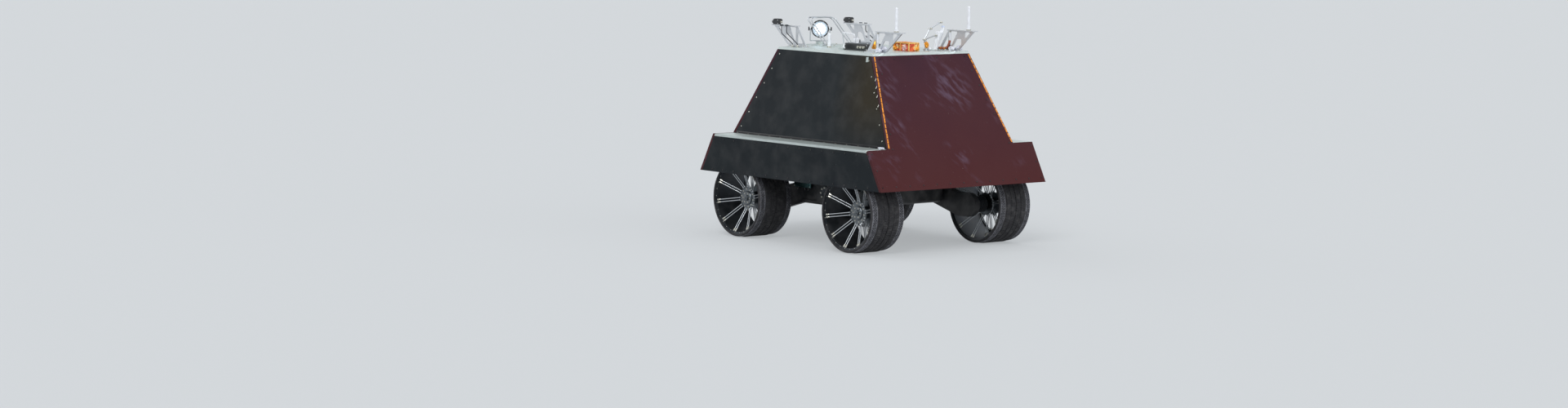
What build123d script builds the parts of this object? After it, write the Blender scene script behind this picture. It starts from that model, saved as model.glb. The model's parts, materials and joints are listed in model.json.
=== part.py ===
from build123d import *
from math import cos, hypot, radians, sin, tan
import os

# Four-wheeled planetary rover prototype, in millimetres.
# +X is forward, +Y is left, +Z is up. The origin is on the ground under the middle of the body.

# Running gear
WHEEL_DIA = 660
WHEEL_WIDTH = 350
WHEELBASE = 1450
TRACK = 1410
TYRE_THICK = 28
TREAD_WIDTH = 220
CROWN_DROP = 5
SHOULDER_BEVEL = 9
RIM_THICK = 6
RIM_WIDTH = 338
RING_WIDTH = 18
RING_DEPTH = 9
RING_OFFSET = 150
FLANGE_R = 95
FLANGE_THICK = 12
FLANGE_OFFSET = 45
BARREL_R = 52
HUB_CAP_R = 58
HUB_CAP_LENGTH = 12
HUB_CAP_BEVEL = 4
SPOKE_DIA = 8
SPOKE_PAIRS = 10
SPOKE_GAP = 22
SPOKE_ROOT_INSET = 13
SPOKE_END_GAP = 2.4
SHAFT_R = 25
SHAFT_LENGTH = 58
RUNNING_FIT = 0.05
HUB_GAP = 8

# Arms and drives
ARM_INNER_Y = 452
ARM_THICK = 50
ARM_TOP_Z = 520
ARM_BELLY_Z = 316
ARM_BELLY_X = 290
ARM_CREST_X = 200
ARM_KNEE_X = 600
ARM_BOSS_R = 100
ARM_PIVOT_R = 70
ARM_CORNER_R = 45
DRIVE_R = 68
DRIVE_FLANGE_R = 84
DRIVE_FLANGE_THICK = 12
DRIVE_NOSE_R = 46
DRIVE_NOSE_LENGTH = 26
DRIVE_BORE_SPARE = 4
DRIVE_FINS = 6
DRIVE_FIN_DEPTH = 7
ARM_RIM = 26
ARM_POCKET = 14
ARM_POCKET_X = 110

# Body
DECK_TOP_Z = 1620
DECK_LENGTH = 1222
DECK_WIDTH = 1058
LEDGE_Z = 867
SHOULDER_WIDTH = 1380
LEDGE_WIDTH = 1820
SKIRT_Z = 541
END_RAKE = radians(28.2)
DECK_THICK = 20
FLOOR_THICK = 20
SIDE_THICK = 20
SKIRT_THICK = 16
END_THICK = 24
TRIM_WIDTH = 18
TRIM_THICK = 2
TUB_LENGTH = 870
TUB_WIDTH = 860
TUB_Z = 330
TUB_WALL = 6
TUB_CORNER_R = 30
BATTERY_SIZE = (520, 420, 190)
BEAM_WIDTH = 40
BEAM_DEPTH = 60
RIB_THICK = 6
RIB_DEPTH = 95
RIB_FOOT = 45
RIB_STATIONS = (160, 540)
RIB_END_OUT = 349
CONTROLLER_GAP = 24
CONTROLLER_SIZE = (218, 20, 54)
CONTROLLER_Z = 446
CONTROLLER_CORNER_R = 5

# Corner brackets on the deck
BRACKET_Y = 400
BRACKET_HEIGHT = 180
BRACKET_FOOT = 222
BRACKET_TOP_BACK = 96
BRACKET_REACH = 229
BRACKET_HEEL = (40, 20)
BRACKET_LEG = -88
BRACKET_POST = (60, 104)
BRACKET_STRUT = (-80, 38)
BRACKET_SILL = 30
BRACKET_HAUNCH = 104
BRACKET_WEB = 8
BRACKET_FLANGE_WIDTH = 64
BRACKET_FLANGE_THICK = 8
BRACKET_BAR = 26
BRACKET_WINDOW_R = 8
BRACKET_SHELF_R = 12

# What the brackets carry
ANTENNA_OUT = 144
ANTENNA_R = 12
ANTENNA_HEIGHT = 203
ANTENNA_TIP_R = 9.6
ANTENNA_FERRULE_R = 18
ANTENNA_FERRULE_HEIGHT = 22
CAMERA_SIZE = (80, 50, 44)
CAMERA_OUT = 178
CAMERA_CORNER_R = 8
CAMERA_LENS_R = 15
CAMERA_LENS_LENGTH = 14
LEAD_R = 4
LEAD_PLUG = (16, 22, 14)
LEAD_PLACES = ((70, 62), (3, 56))
LEAD_RUN = 150
LEAD_RISE = 26
LEAD_BENDS = [24, 12]
LEAD_GLAND_R = 9
LEAD_GLAND_HEIGHT = 9

# Lamp
LAMP_X = 700
LAMP_Z = 1758
LAMP_R = 74
LAMP_DEPTH = 96
LAMP_FACING = 140
LAMP_BACK_R = 52
LAMP_DOME = (69, 13.5)
LAMP_SHOULDER = 31
LAMP_LENS_R = 66
LAMP_LENS_THICK = 6
LAMP_LIP = 9
LAMP_PLATE = (376, 306, 8)
LAMP_PLATE_X = 560
YOKE_LIFT = 1
YOKE_GAP = 6
YOKE_THICK = 8
YOKE_WIDTH = 34
TRUNNION_R = 8
TRUNNION_SPARE = 4
PAN_PIN_R = 12
PAN_BOSS_R = 34
PAN_BOSS_HEIGHT = 22
GUARD_TUBE_R = 6
GUARD_HALF_WIDTH = 137
GUARD_TOP_Z = 1858
GUARD_TOP_X = 720
GUARD_FOOT_X = 455
GUARD_STEP = 44
GUARD_BEND_R = 45
GUARD_SHOE = (96, 26, 8)

# Deck equipment: (length, width, height) and the middle of the foot (x, y)
ELECTRONICS_SIZE = (296, 160, 58)
ELECTRONICS_AT = (-153, 240)
BAY_BOX_SIZE = (190, 110, 70)
BAY_BOX_AT = (-375, -45)
BOX_CORNER_R = 7
PLUG_R = 12
PLUG_HEIGHT = 50
PLUG_SIDE = 24
PLUG_PLACES = (-72, -110)
SENSOR_INSET = 204
SENSOR_Y = -343
SENSOR_FOOT_R = 17
SENSOR_TOP_R = 33
SENSOR_HEIGHT = 148
SENSOR_RIM = 5
SENSOR_LEAN = 17.5
SENSOR_BASE = (22, 10)
SENSOR_SINK = 6
SENSOR_BAR_R = 7.5
SENSOR_BAR_LENGTH = 66
SENSOR_BAR_STEP = 18
SENSOR_BAR_SIDE = 22
SENSOR_ARM_INSET = 201
SENSOR_ARM_Y = -232
SENSOR_ARM_R = 6
SENSOR_ARM_KNOB_R = 10
SENSOR_ARM_FOOT = (22, 12)
SENSOR_ARM_LINKS = ((18, 81), (-63, 91), (-113, 51))
SENSOR_ARM_BRACE = (-120, 32)
ROD_R = 7
ROD_INSET = 72
ROD_TOP = 156
ROD_FOOT = 88
ROD_TAIL_R = 3.5
HARNESS_R = 10
HARNESS_END_GAP = 4
HARNESS_KNEE = (104, 66)
HARNESS_BENDS = [22, 50]
HARNESS_GLAND = (17, 34)
WHITE_LEAD_R = 5
WHITE_LEAD_RISE = 22
WHITE_LEAD_DROP = 40
WHITE_LEAD_END = (150, 196)
WHITE_LEAD_PEAK = (88, 138)
WHITE_LEAD_BENDS = [14, 22, 30]
PLATE_SIZE = (60, 50, 12)
PLATE_AT = (30, 302)
PLATE_CHAMFER = 1.5
BEACON_AT = (322, 212)
BEACON_R = 15
BEACON_HEIGHT = 124
BEACON_TIP_R = 13.5

# Fits and fastening holes
SEAM = 0.3
BOLT_R = 4.5
PAYLOAD_AT = (130, -200)
PAYLOAD_SPACING = (300, 240)
LEDGE_HOLES = (600, 120)
LEDGE_HOLES_Y = 800

WHEEL_R = WHEEL_DIA / 2
AXLE_Z = WHEEL_R
RIM_R = WHEEL_R - TYRE_THICK - SEAM
RING_R = RIM_R - RIM_THICK - RING_DEPTH
SPOKE_ROOT_R = FLANGE_R - SPOKE_ROOT_INSET
HUB_FACE = FLANGE_OFFSET + FLANGE_THICK / 2
ARM_OUTER_Y = ARM_INNER_Y + ARM_THICK
PANEL_TOP_Z = DECK_TOP_Z - DECK_THICK
FLOOR_BASE_Z = LEDGE_Z - FLOOR_THICK
FLARE = (SHOULDER_WIDTH - DECK_WIDTH) / 2 / (DECK_TOP_Z - LEDGE_Z)
LOW = (Align.CENTER, Align.CENTER, Align.MIN)
CORNERS = {
    "front_left": (1, 1),
    "front_right": (1, -1),
    "rear_left": (-1, 1),
    "rear_right": (-1, -1),
}
SIDES = {"left": 1, "right": -1}
ENDS = {"front": 1, "rear": -1}


def half_x(z):
    """Half the body's length at a height, to the outside of its raked end panels."""
    return DECK_LENGTH / 2 + (DECK_TOP_Z - z) * tan(END_RAKE)


def half_y(z):
    """Half the cabin's width at a height, to the outside of its flared side panels."""
    return DECK_WIDTH / 2 + (DECK_TOP_Z - z) * FLARE


def prism(plane, points, low, high):
    """A straight-sided solid on an outline, from one distance along the plane's normal to another."""
    face = make_face(plane.offset(low) * Polyline(*points, close=True))
    return extrude(face, high - low, dir=plane.z_dir)


def raked_block(inset, low, high, half_width):
    """What lies between the end panels' outer faces, moved in square to them by an inset."""
    step = inset / cos(END_RAKE)
    near, far = half_x(low) - step, half_x(high) - step
    outline = [(-near, low), (near, low), (far, high), (-far, high)]
    return prism(Plane.XZ, outline, -half_width, half_width)


def facing(sign):
    """Turns a piece made for the front so that it serves the given end."""
    return Rot(0, 0, 0 if sign > 0 else 180)


def wheel_place(along, across):
    """Where a wheel's middle is, with the wheel's own +Z pointing out of the vehicle."""
    return Pos(along * WHEELBASE / 2, across * TRACK / 2, AXLE_Z) * Rot(-90 * across, 0, 0)


def tyre():
    bead, half = RIM_R + SEAM, WHEEL_WIDTH / 2
    upper = [
        (WHEEL_R, TREAD_WIDTH / 2),
        (WHEEL_R - CROWN_DROP, half - SHOULDER_BEVEL),
        (WHEEL_R - CROWN_DROP - SHOULDER_BEVEL, half),
        (bead, half),
    ]
    outline = upper + [(r, -z) for r, z in reversed(upper)]
    return revolve(make_face(Plane.XZ * Polyline(*outline, close=True)), Axis.Z)


def rim():
    band = Cylinder(RIM_R, RIM_WIDTH) - Cylinder(RIM_R - RIM_THICK, RIM_WIDTH)
    ring = Cylinder(RIM_R - RIM_THICK / 2, RING_WIDTH) - Cylinder(RING_R, RING_WIDTH)
    return band + [Pos(0, 0, side * RING_OFFSET) * ring for side in (-1, 1)]


def spoke(turn, side, offset):
    """One straight spoke from a hub flange out to just inside the ring at the rim's edge."""
    start = Vector(SPOKE_ROOT_R, offset, side * FLANGE_OFFSET)
    end = Vector(RING_R - SPOKE_END_GAP, offset, side * RING_OFFSET)
    rod = Plane(start, z_dir=end - start) * Cylinder(SPOKE_DIA / 2, (end - start).length, align=LOW)
    return Rot(0, 0, turn) * rod


def hub():
    """Two spoke flanges on a barrel, the drive shaft on its inner side and the laced spokes."""
    flange = Cylinder(FLANGE_R, FLANGE_THICK)
    barrel = Cylinder(BARREL_R, 2 * FLANGE_OFFSET)
    cap = Pos(0, 0, HUB_FACE) * Cylinder(HUB_CAP_R, HUB_CAP_LENGTH, align=LOW)
    cap = chamfer(cap.edges().group_by(Axis.Z)[-1], HUB_CAP_BEVEL)
    shaft = Pos(0, 0, -HUB_FACE - SHAFT_LENGTH) * Cylinder(SHAFT_R, SHAFT_LENGTH, align=LOW)
    core = barrel + cap + shaft + [Pos(0, 0, side * FLANGE_OFFSET) * flange for side in (-1, 1)]
    pitch = 360 / SPOKE_PAIRS
    rods = [
        spoke((place + 0.25 * side) * pitch, side, half * SPOKE_GAP / 2)
        for side in (-1, 1)
        for place in range(SPOKE_PAIRS)
        for half in (-1, 1)
    ]
    return core + rods


def drive_unit():
    """Gear motor on the arm, with the bore that the hub's shaft runs in."""
    base = ARM_OUTER_Y - TRACK / 2
    nose_end = -HUB_FACE - HUB_GAP
    length = nose_end - base
    flange = Cylinder(DRIVE_FLANGE_R, DRIVE_FLANGE_THICK, align=LOW)
    case = Cylinder(DRIVE_R, length - DRIVE_NOSE_LENGTH, align=LOW)
    nose = Cylinder(DRIVE_NOSE_R, length, align=LOW)
    depth = SHAFT_LENGTH - HUB_GAP + DRIVE_BORE_SPARE
    bore = Pos(0, 0, length - depth) * Cylinder(SHAFT_R + RUNNING_FIT, depth, align=LOW)
    finned = length - DRIVE_NOSE_LENGTH - DRIVE_FLANGE_THICK
    pitch = finned / (DRIVE_FINS + 1)
    groove = Cylinder(DRIVE_R + 1, pitch / 2) - Cylinder(DRIVE_R - DRIVE_FIN_DEPTH, pitch / 2)
    grooves = [Pos(0, 0, DRIVE_FLANGE_THICK + pitch * (n + 1)) * groove for n in range(DRIVE_FINS)]
    return Pos(0, 0, base) * (flange + case + nose - bore - grooves)


def rocker(side):
    """Arm that carries one side's two drives, bolted at its middle to the tub."""
    end = WHEELBASE / 2
    right = [
        (ARM_BELLY_X, ARM_BELLY_Z),
        (ARM_KNEE_X, AXLE_Z - ARM_BOSS_R),
        (end, AXLE_Z - ARM_BOSS_R),
        (end, AXLE_Z + ARM_BOSS_R),
        (ARM_KNEE_X, AXLE_Z + ARM_BOSS_R),
        (ARM_CREST_X, ARM_TOP_Z),
    ]
    outline = right + [(-x, z) for x, z in reversed(right)]
    beam = make_face(Plane.XZ * Polyline(*outline, close=True))
    beam = fillet([v for v in beam.vertices() if abs(v.X) < end - 1], ARM_CORNER_R)
    arm = extrude(beam, ARM_THICK, dir=(0, 1, 0))
    boss = Rot(-90, 0, 0) * Cylinder(ARM_BOSS_R, ARM_THICK, align=LOW)
    arm += [Pos(sign * end, 0, AXLE_Z) * boss for sign in (-1, 1)]
    arm = Pos(0, ARM_INNER_Y, 0) * arm
    pivot_z = (ARM_TOP_Z + ARM_BELLY_Z) / 2
    gap = ARM_INNER_Y - TUB_WIDTH / 2
    pivot = Pos(0, TUB_WIDTH / 2, pivot_z) * Rot(-90, 0, 0) * Cylinder(ARM_PIVOT_R, gap, align=LOW)
    arm += pivot
    pocket = offset(beam, -ARM_RIM) & Rot(90, 0, 0) * Rectangle(2 * ARM_KNEE_X, 2 * ARM_TOP_Z)
    pocket -= Rot(90, 0, 0) * Rectangle(2 * ARM_POCKET_X, 2 * ARM_TOP_Z)
    arm -= Pos(0, ARM_OUTER_Y, 0) * extrude(pocket, ARM_POCKET, dir=(0, -1, 0))
    return arm if side > 0 else mirror(arm, Plane.XZ)


def controller(side):
    """Flat motor controller on the outer face of an arm."""
    y = side * (ARM_OUTER_Y + CONTROLLER_SIZE[1] / 2)
    box = Box(*CONTROLLER_SIZE, align=LOW)
    box = fillet(box.edges().filter_by(Axis.Z), CONTROLLER_CORNER_R)
    wheel_reach = (WHEEL_R**2 - (CONTROLLER_Z - AXLE_Z) ** 2) ** 0.5
    front = WHEELBASE / 2 - wheel_reach - CONTROLLER_GAP
    return Pos(front - CONTROLLER_SIZE[0] / 2, y, CONTROLLER_Z) * box


def tub():
    outer = Pos(0, 0, TUB_Z) * Box(TUB_LENGTH, TUB_WIDTH, FLOOR_BASE_Z - TUB_Z, align=LOW)
    outer = fillet(outer.edges().group_by(Axis.Z)[0], TUB_CORNER_R)
    inner = Box(TUB_LENGTH - 2 * TUB_WALL, TUB_WIDTH - 2 * TUB_WALL, FLOOR_BASE_Z - TUB_Z, align=LOW)
    inner = fillet(inner.edges().group_by(Axis.Z)[0], TUB_CORNER_R - TUB_WALL)
    return outer - Pos(0, 0, TUB_Z + TUB_WALL) * inner


def battery():
    return Pos(0, 0, TUB_Z + TUB_WALL) * Box(*BATTERY_SIZE, align=LOW)


def holes(at, spacing, top, thick):
    """Four bolt holes through a plate, at the corners of a rectangle."""
    drill = Pos(at[0], at[1], top - thick / 2) * Cylinder(BOLT_R, thick * 2)
    corners = [(i * spacing[0] / 2, j * spacing[1] / 2) for i in (-1, 1) for j in (-1, 1)]
    return [Pos(x, y, 0) * drill for x, y in corners]


def floor_deck():
    plate = raked_block(END_THICK + SEAM, FLOOR_BASE_Z, LEDGE_Z, LEDGE_WIDTH / 2)
    for side in SIDES.values():
        plate -= holes((0, side * LEDGE_HOLES_Y), LEDGE_HOLES, LEDGE_Z, FLOOR_THICK)
    return plate


def frame_base():
    """The height of the underframe's lower face, and how far out its long beams' middles are."""
    return FLOOR_BASE_Z - BEAM_DEPTH, TUB_WIDTH / 2 + SEAM + BEAM_WIDTH / 2


def frame_limits():
    return raked_block(END_THICK + SEAM, FLOOR_BASE_Z - RIB_DEPTH, FLOOR_BASE_Z, LEDGE_WIDTH)


def underframe():
    """Two long beams under the floor, one each side of the tub."""
    base, beam_y = frame_base()
    beam = Pos(0, beam_y, base) * Box(2 * half_x(base), BEAM_WIDTH, BEAM_DEPTH, align=LOW)
    beam = beam & frame_limits()
    return Compound(children=[beam, mirror(beam, Plane.XZ)])


def cross_beams():
    """Beams from one long beam to the other, in front of the tub and behind it."""
    base, beam_y = frame_base()
    x = TUB_LENGTH / 2 + SEAM + BEAM_WIDTH / 2
    beam = Pos(x, 0, base) * Box(BEAM_WIDTH, 2 * beam_y - BEAM_WIDTH, BEAM_DEPTH, align=LOW)
    return Compound(children=[beam, mirror(beam, Plane.YZ)])


def ledge_ribs():
    """Ribs under the ledges, from the long beams out to the skirts, deeper at their feet."""
    base, beam_y = frame_base()
    root = beam_y + BEAM_WIDTH / 2
    reach = LEDGE_WIDTH / 2 - SKIRT_THICK - SEAM
    outline = [
        (root, FLOOR_BASE_Z),
        (reach, FLOOR_BASE_Z),
        (reach, FLOOR_BASE_Z - RIB_DEPTH),
        (reach - RIB_FOOT, FLOOR_BASE_Z - RIB_DEPTH),
        (root, base),
    ]
    ribs = []
    for x in (*RIB_STATIONS, DECK_LENGTH / 2 + RIB_END_OUT):
        rib = prism(Plane.YZ, outline, x - RIB_THICK / 2, x + RIB_THICK / 2)
        pair = [rib, mirror(rib, Plane.XZ)]
        ribs += pair + [mirror(rib, Plane.YZ) for rib in pair]
    return Compound(children=ribs)


def skirt(side):
    outer = side * LEDGE_WIDTH / 2
    inner = outer - side * SKIRT_THICK
    wall = raked_block(END_THICK + SEAM, SKIRT_Z, FLOOR_BASE_Z, LEDGE_WIDTH)
    reach = half_x(SKIRT_Z)
    outline = [(inner, SKIRT_Z), (outer, SKIRT_Z), (outer, LEDGE_Z), (inner, LEDGE_Z)]
    return wall & prism(Plane.YZ, outline, -reach, reach)


def side_panel(side):
    step = SIDE_THICK * hypot(1, FLARE)
    outline = [
        (side * half_y(LEDGE_Z), LEDGE_Z),
        (side * half_y(PANEL_TOP_Z), PANEL_TOP_Z),
        (side * (half_y(PANEL_TOP_Z) - step), PANEL_TOP_Z),
        (side * (half_y(LEDGE_Z) - step), LEDGE_Z),
    ]
    reach = half_x(LEDGE_Z)
    limits = raked_block(END_THICK + SEAM, LEDGE_Z, PANEL_TOP_Z, LEDGE_WIDTH)
    return prism(Plane.YZ, outline, -reach, reach) & limits


def end_plane():
    """The front panel's outer face, with its own Y running up the rake from the ledge's height."""
    return Plane((half_x(LEDGE_Z), 0, LEDGE_Z), x_dir=(0, 1, 0), z_dir=(cos(END_RAKE), 0, sin(END_RAKE)))


def up_rake(z):
    return (z - LEDGE_Z) / cos(END_RAKE)


def cut_level(solid):
    """Trims a raked piece level with the skirts' lower edge and the deck's underside."""
    height = PANEL_TOP_Z - SKIRT_Z
    return solid & Pos(0, 0, SKIRT_Z) * Box(4 * DECK_LENGTH, 2 * LEDGE_WIDTH, height, align=LOW)


def end_panel(sign):
    """One flat raked panel, narrow beside the cabin and wide below the ledges."""
    right = [
        (LEDGE_WIDTH / 2, up_rake(SKIRT_Z) - END_THICK),
        (LEDGE_WIDTH / 2, 0),
        (SHOULDER_WIDTH / 2, 0),
        (half_y(DECK_TOP_Z), up_rake(DECK_TOP_Z)),
    ]
    outline = right + [(-y, v) for y, v in reversed(right)]
    return facing(sign) * cut_level(prism(end_plane(), outline, -END_THICK, 0))


def edge_trim(sign):
    """Taped edges down both sides of the upper part of an end panel."""
    strips = []
    for side in SIDES.values():
        top, foot = half_y(DECK_TOP_Z), SHOULDER_WIDTH / 2
        outline = [
            (side * foot, 0),
            (side * top, up_rake(DECK_TOP_Z)),
            (side * (top - TRIM_WIDTH), up_rake(DECK_TOP_Z)),
            (side * (foot - TRIM_WIDTH), 0),
        ]
        strips.append(facing(sign) * cut_level(prism(end_plane(), outline, 0, TRIM_THICK)))
    return Compound(children=strips)


def top_deck():
    low, high = PANEL_TOP_Z, DECK_TOP_Z
    outline = [(-half_y(low), low), (half_y(low), low), (half_y(high), high), (-half_y(high), high)]
    plate = raked_block(0, low, high, LEDGE_WIDTH) & prism(Plane.YZ, outline, -DECK_LENGTH, DECK_LENGTH)
    return plate - holes(PAYLOAD_AT, PAYLOAD_SPACING, DECK_TOP_Z, DECK_THICK)


def bracket(along, across):
    """Bracket that leans out over the end of the deck, with four windows in its web."""
    edge, top = DECK_LENGTH / 2, BRACKET_HEIGHT
    flange, bar = BRACKET_FLANGE_THICK, BRACKET_BAR
    low, high = BRACKET_SILL, top - flange - bar / 4
    heel_x, heel_z = BRACKET_HEEL
    post_in, post_out = BRACKET_POST

    def back(z):
        return -BRACKET_FOOT + (BRACKET_FOOT - BRACKET_TOP_BACK) * z / top

    def nose(z):
        return heel_x + (BRACKET_REACH - heel_x) * (z - heel_z) / (top - heel_z)

    def strut(z):
        return BRACKET_STRUT[0] + (BRACKET_STRUT[1] - BRACKET_STRUT[0]) * z / top

    def strut_height(out):
        return top * (out - BRACKET_STRUT[0]) / (BRACKET_STRUT[1] - BRACKET_STRUT[0])

    leg_in, leg_out = BRACKET_LEG - bar / 2, BRACKET_LEG + bar / 2
    rake = (BRACKET_FOOT - BRACKET_TOP_BACK) / top
    windows = [
        [(back(low) + bar, low), (leg_in, low), (leg_in, (leg_in + BRACKET_FOOT - bar) / rake)],
        [(leg_out, high), (strut(high) - bar / 2, high), (leg_out, strut_height(leg_out + bar / 2))],
        [
            (strut(low) + bar / 2, low),
            (nose(low) - bar, low),
            (post_in, heel_z + (post_in + bar - heel_x) * (top - heel_z) / (BRACKET_REACH - heel_x)),
            (post_in, BRACKET_HAUNCH),
            (strut(BRACKET_HAUNCH) + bar / 2, BRACKET_HAUNCH),
        ],
        [
            (post_out, high),
            (nose(high) - 1.5 * bar, high),
            (post_out, heel_z + (post_out + 1.5 * bar - heel_x) * (top - heel_z) / (BRACKET_REACH - heel_x)),
        ],
    ]
    half = BRACKET_WEB / 2
    web = [(-BRACKET_FOOT, 0), (0, 0), (heel_x, heel_z), (BRACKET_REACH, top), (-BRACKET_TOP_BACK, top)]
    plate = prism(Plane.XZ, web, -half, half)
    for outline in windows:
        hole = make_face(Plane.XZ * Polyline(*outline, close=True))
        hole = fillet(hole.vertices(), BRACKET_WINDOW_R)
        plate -= extrude(hole, BRACKET_WEB, dir=(0, 1, 0), both=True)
    foot = Pos(-BRACKET_FOOT / 2, 0, 0) * Box(BRACKET_FOOT, BRACKET_FLANGE_WIDTH, flange, align=LOW)
    length = BRACKET_TOP_BACK + BRACKET_REACH
    shelf_x = (BRACKET_REACH - BRACKET_TOP_BACK) / 2
    shelf = Pos(shelf_x, 0, top - flange) * Box(length, BRACKET_FLANGE_WIDTH, flange, align=LOW)
    shelf = fillet(shelf.edges().filter_by(Axis.Z), BRACKET_SHELF_R)
    piece = Pos(edge, 0, DECK_TOP_Z) * (plate + foot + shelf)
    return Pos(0, across * BRACKET_Y, 0) * facing(along) * piece


def antenna(side):
    base = DECK_TOP_Z + BRACKET_HEIGHT
    ferrule = Cylinder(ANTENNA_FERRULE_R, ANTENNA_FERRULE_HEIGHT, align=LOW)
    rod = Cylinder(ANTENNA_R, ANTENNA_HEIGHT, align=LOW)
    rod = fillet(rod.edges().group_by(Axis.Z)[-1], ANTENNA_TIP_R)
    return Pos(-DECK_LENGTH / 2 - ANTENNA_OUT, side * BRACKET_Y, base) * (ferrule + rod)


def camera(side):
    base = DECK_TOP_Z + BRACKET_HEIGHT
    box = Box(*CAMERA_SIZE, align=LOW)
    box = fillet(box.edges().filter_by(Axis.Z), CAMERA_CORNER_R)
    lens = Rot(0, 90, 0) * Cylinder(CAMERA_LENS_R, CAMERA_LENS_LENGTH, align=LOW)
    lens = Pos(CAMERA_SIZE[0] / 2, 0, CAMERA_SIZE[2] / 2) * lens
    return Pos(DECK_LENGTH / 2 + CAMERA_OUT, side * BRACKET_Y, base) * (box + lens)


def tube(route, radius, bends):
    """A round tube along straight runs joined by arcs."""
    path = FilletPolyline(*route, radius=bends)
    return sweep(Plane(path @ 0, z_dir=path % 0) * Circle(radius), path=path)


def camera_leads():
    """Leads from plugs on the shelf's edge, down beside the bracket and back to glands on the deck."""
    leads = []
    top = DECK_TOP_Z + BRACKET_HEIGHT - BRACKET_FLANGE_THICK
    for side in SIDES.values():
        y = side * (BRACKET_Y + BRACKET_FLANGE_WIDTH / 2 + LEAD_PLUG[1] / 2)
        for out, drop in LEAD_PLACES:
            x = DECK_LENGTH / 2 + out
            route = [(x, y, top), (x, y, top - drop), (x - LEAD_RUN, y, DECK_TOP_Z + LEAD_RISE)]
            route.append((x - LEAD_RUN, y, DECK_TOP_Z))
            lead = tube(route, LEAD_R, LEAD_BENDS)
            plug = Pos(x, y, top) * Box(*LEAD_PLUG, align=LOW)
            gland = Pos(x - LEAD_RUN, y, DECK_TOP_Z) * Cylinder(LEAD_GLAND_R, LEAD_GLAND_HEIGHT, align=LOW)
            leads.append(lead + plug + gland)
    return Compound(children=leads)


def lamp_mount():
    """Plate that juts over the front of the deck, with the boss that the lamp turns in."""
    length, width, thick = LAMP_PLATE
    plate = Pos(LAMP_PLATE_X, 0, DECK_TOP_Z) * Box(length, width, thick, align=LOW)
    boss = Cylinder(PAN_BOSS_R, PAN_BOSS_HEIGHT, align=LOW)
    bore = Cylinder(PAN_PIN_R + RUNNING_FIT, PAN_BOSS_HEIGHT, align=LOW)
    return plate + Pos(LAMP_X, 0, DECK_TOP_Z + thick) * (boss - bore)


def lamp_guard():
    """Two like hoops, one behind the other, raked forward over the lamp and joined by their shoes."""
    base = DECK_TOP_Z + LAMP_PLATE[2]
    hoops = []
    for step in (0, GUARD_STEP):
        route = [(GUARD_FOOT_X - step, -GUARD_HALF_WIDTH, base)]
        route.append((GUARD_TOP_X - step, -GUARD_HALF_WIDTH, GUARD_TOP_Z))
        route += [(x, -y, z) for x, y, z in reversed(route)]
        hoops.append(tube(route, GUARD_TUBE_R, GUARD_BEND_R))
    shoe = Box(*GUARD_SHOE, align=LOW)
    shoe_x = GUARD_FOOT_X - GUARD_STEP / 2
    shoes = [Pos(shoe_x, side * GUARD_HALF_WIDTH, base) * shoe for side in SIDES.values()]
    above = Pos(LAMP_X, 0, base) * Box(DECK_LENGTH, DECK_WIDTH, DECK_WIDTH, align=LOW)
    return (hoops[0] + hoops[1:] + shoes) & above


def lamp_place():
    return Pos(LAMP_X, 0, LAMP_Z) * Rot(0, 0, LAMP_FACING)


def lamp_yoke():
    """U-shaped yoke on a pan pin, with a bore for the head's trunnion in each arm."""
    base = DECK_TOP_Z + LAMP_PLATE[2] + PAN_BOSS_HEIGHT + YOKE_LIFT - LAMP_Z
    arm_y = LAMP_R + YOKE_GAP + YOKE_THICK / 2
    foot = Pos(0, 0, base) * Box(YOKE_WIDTH, 2 * arm_y + YOKE_THICK, YOKE_THICK, align=LOW)
    pin = Pos(0, 0, base - PAN_BOSS_HEIGHT) * Cylinder(PAN_PIN_R, PAN_BOSS_HEIGHT, align=LOW)
    arm = Pos(0, 0, base) * Box(YOKE_WIDTH, YOKE_THICK, -base, align=LOW)
    ear = Rot(90, 0, 0) * Cylinder(YOKE_WIDTH / 2, YOKE_THICK)
    bore = Rot(90, 0, 0) * Cylinder(TRUNNION_R + RUNNING_FIT, 4 * arm_y)
    yoke = foot + pin + [Pos(0, side * arm_y, 0) * (arm + ear) for side in (-1, 1)]
    return lamp_place() * (yoke - bore)


def lamp_head():
    """Round lamp body, open in front for its lens and domed behind, on two trunnions."""
    back, front = -LAMP_DEPTH / 2, LAMP_DEPTH / 2
    shoulder = back + LAMP_SHOULDER
    shell = Line((0, back), (LAMP_BACK_R, back))
    shell += ThreePointArc((LAMP_BACK_R, back), (LAMP_DOME[0], back + LAMP_DOME[1]), (LAMP_R, shoulder))
    shell += Polyline((LAMP_R, shoulder), (LAMP_R, front), (0, front), (0, back))
    body = revolve(make_face(Plane.XZ * shell), Axis.Z)
    body -= Pos(0, 0, front - LAMP_LIP) * Cylinder(LAMP_LENS_R + SEAM, LAMP_LIP, align=LOW)
    body = Rot(0, 90, 0) * body
    span = 2 * (LAMP_R + YOKE_GAP + YOKE_THICK + TRUNNION_SPARE)
    return lamp_place() * (body + Rot(90, 0, 0) * Cylinder(TRUNNION_R, span))


def lamp_lens():
    lens = Cylinder(LAMP_LENS_R, LAMP_LENS_THICK, align=LOW)
    seat = LAMP_DEPTH / 2 - LAMP_LIP
    return lamp_place() * Rot(0, 90, 0) * Pos(0, 0, seat) * lens


def deck_box(size, at, corner):
    box = Box(*size, align=LOW)
    box = fillet(box.edges().filter_by(Axis.Z) + box.edges().group_by(Axis.Z)[-1], corner)
    return Pos(at[0], at[1], DECK_TOP_Z) * box


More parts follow.
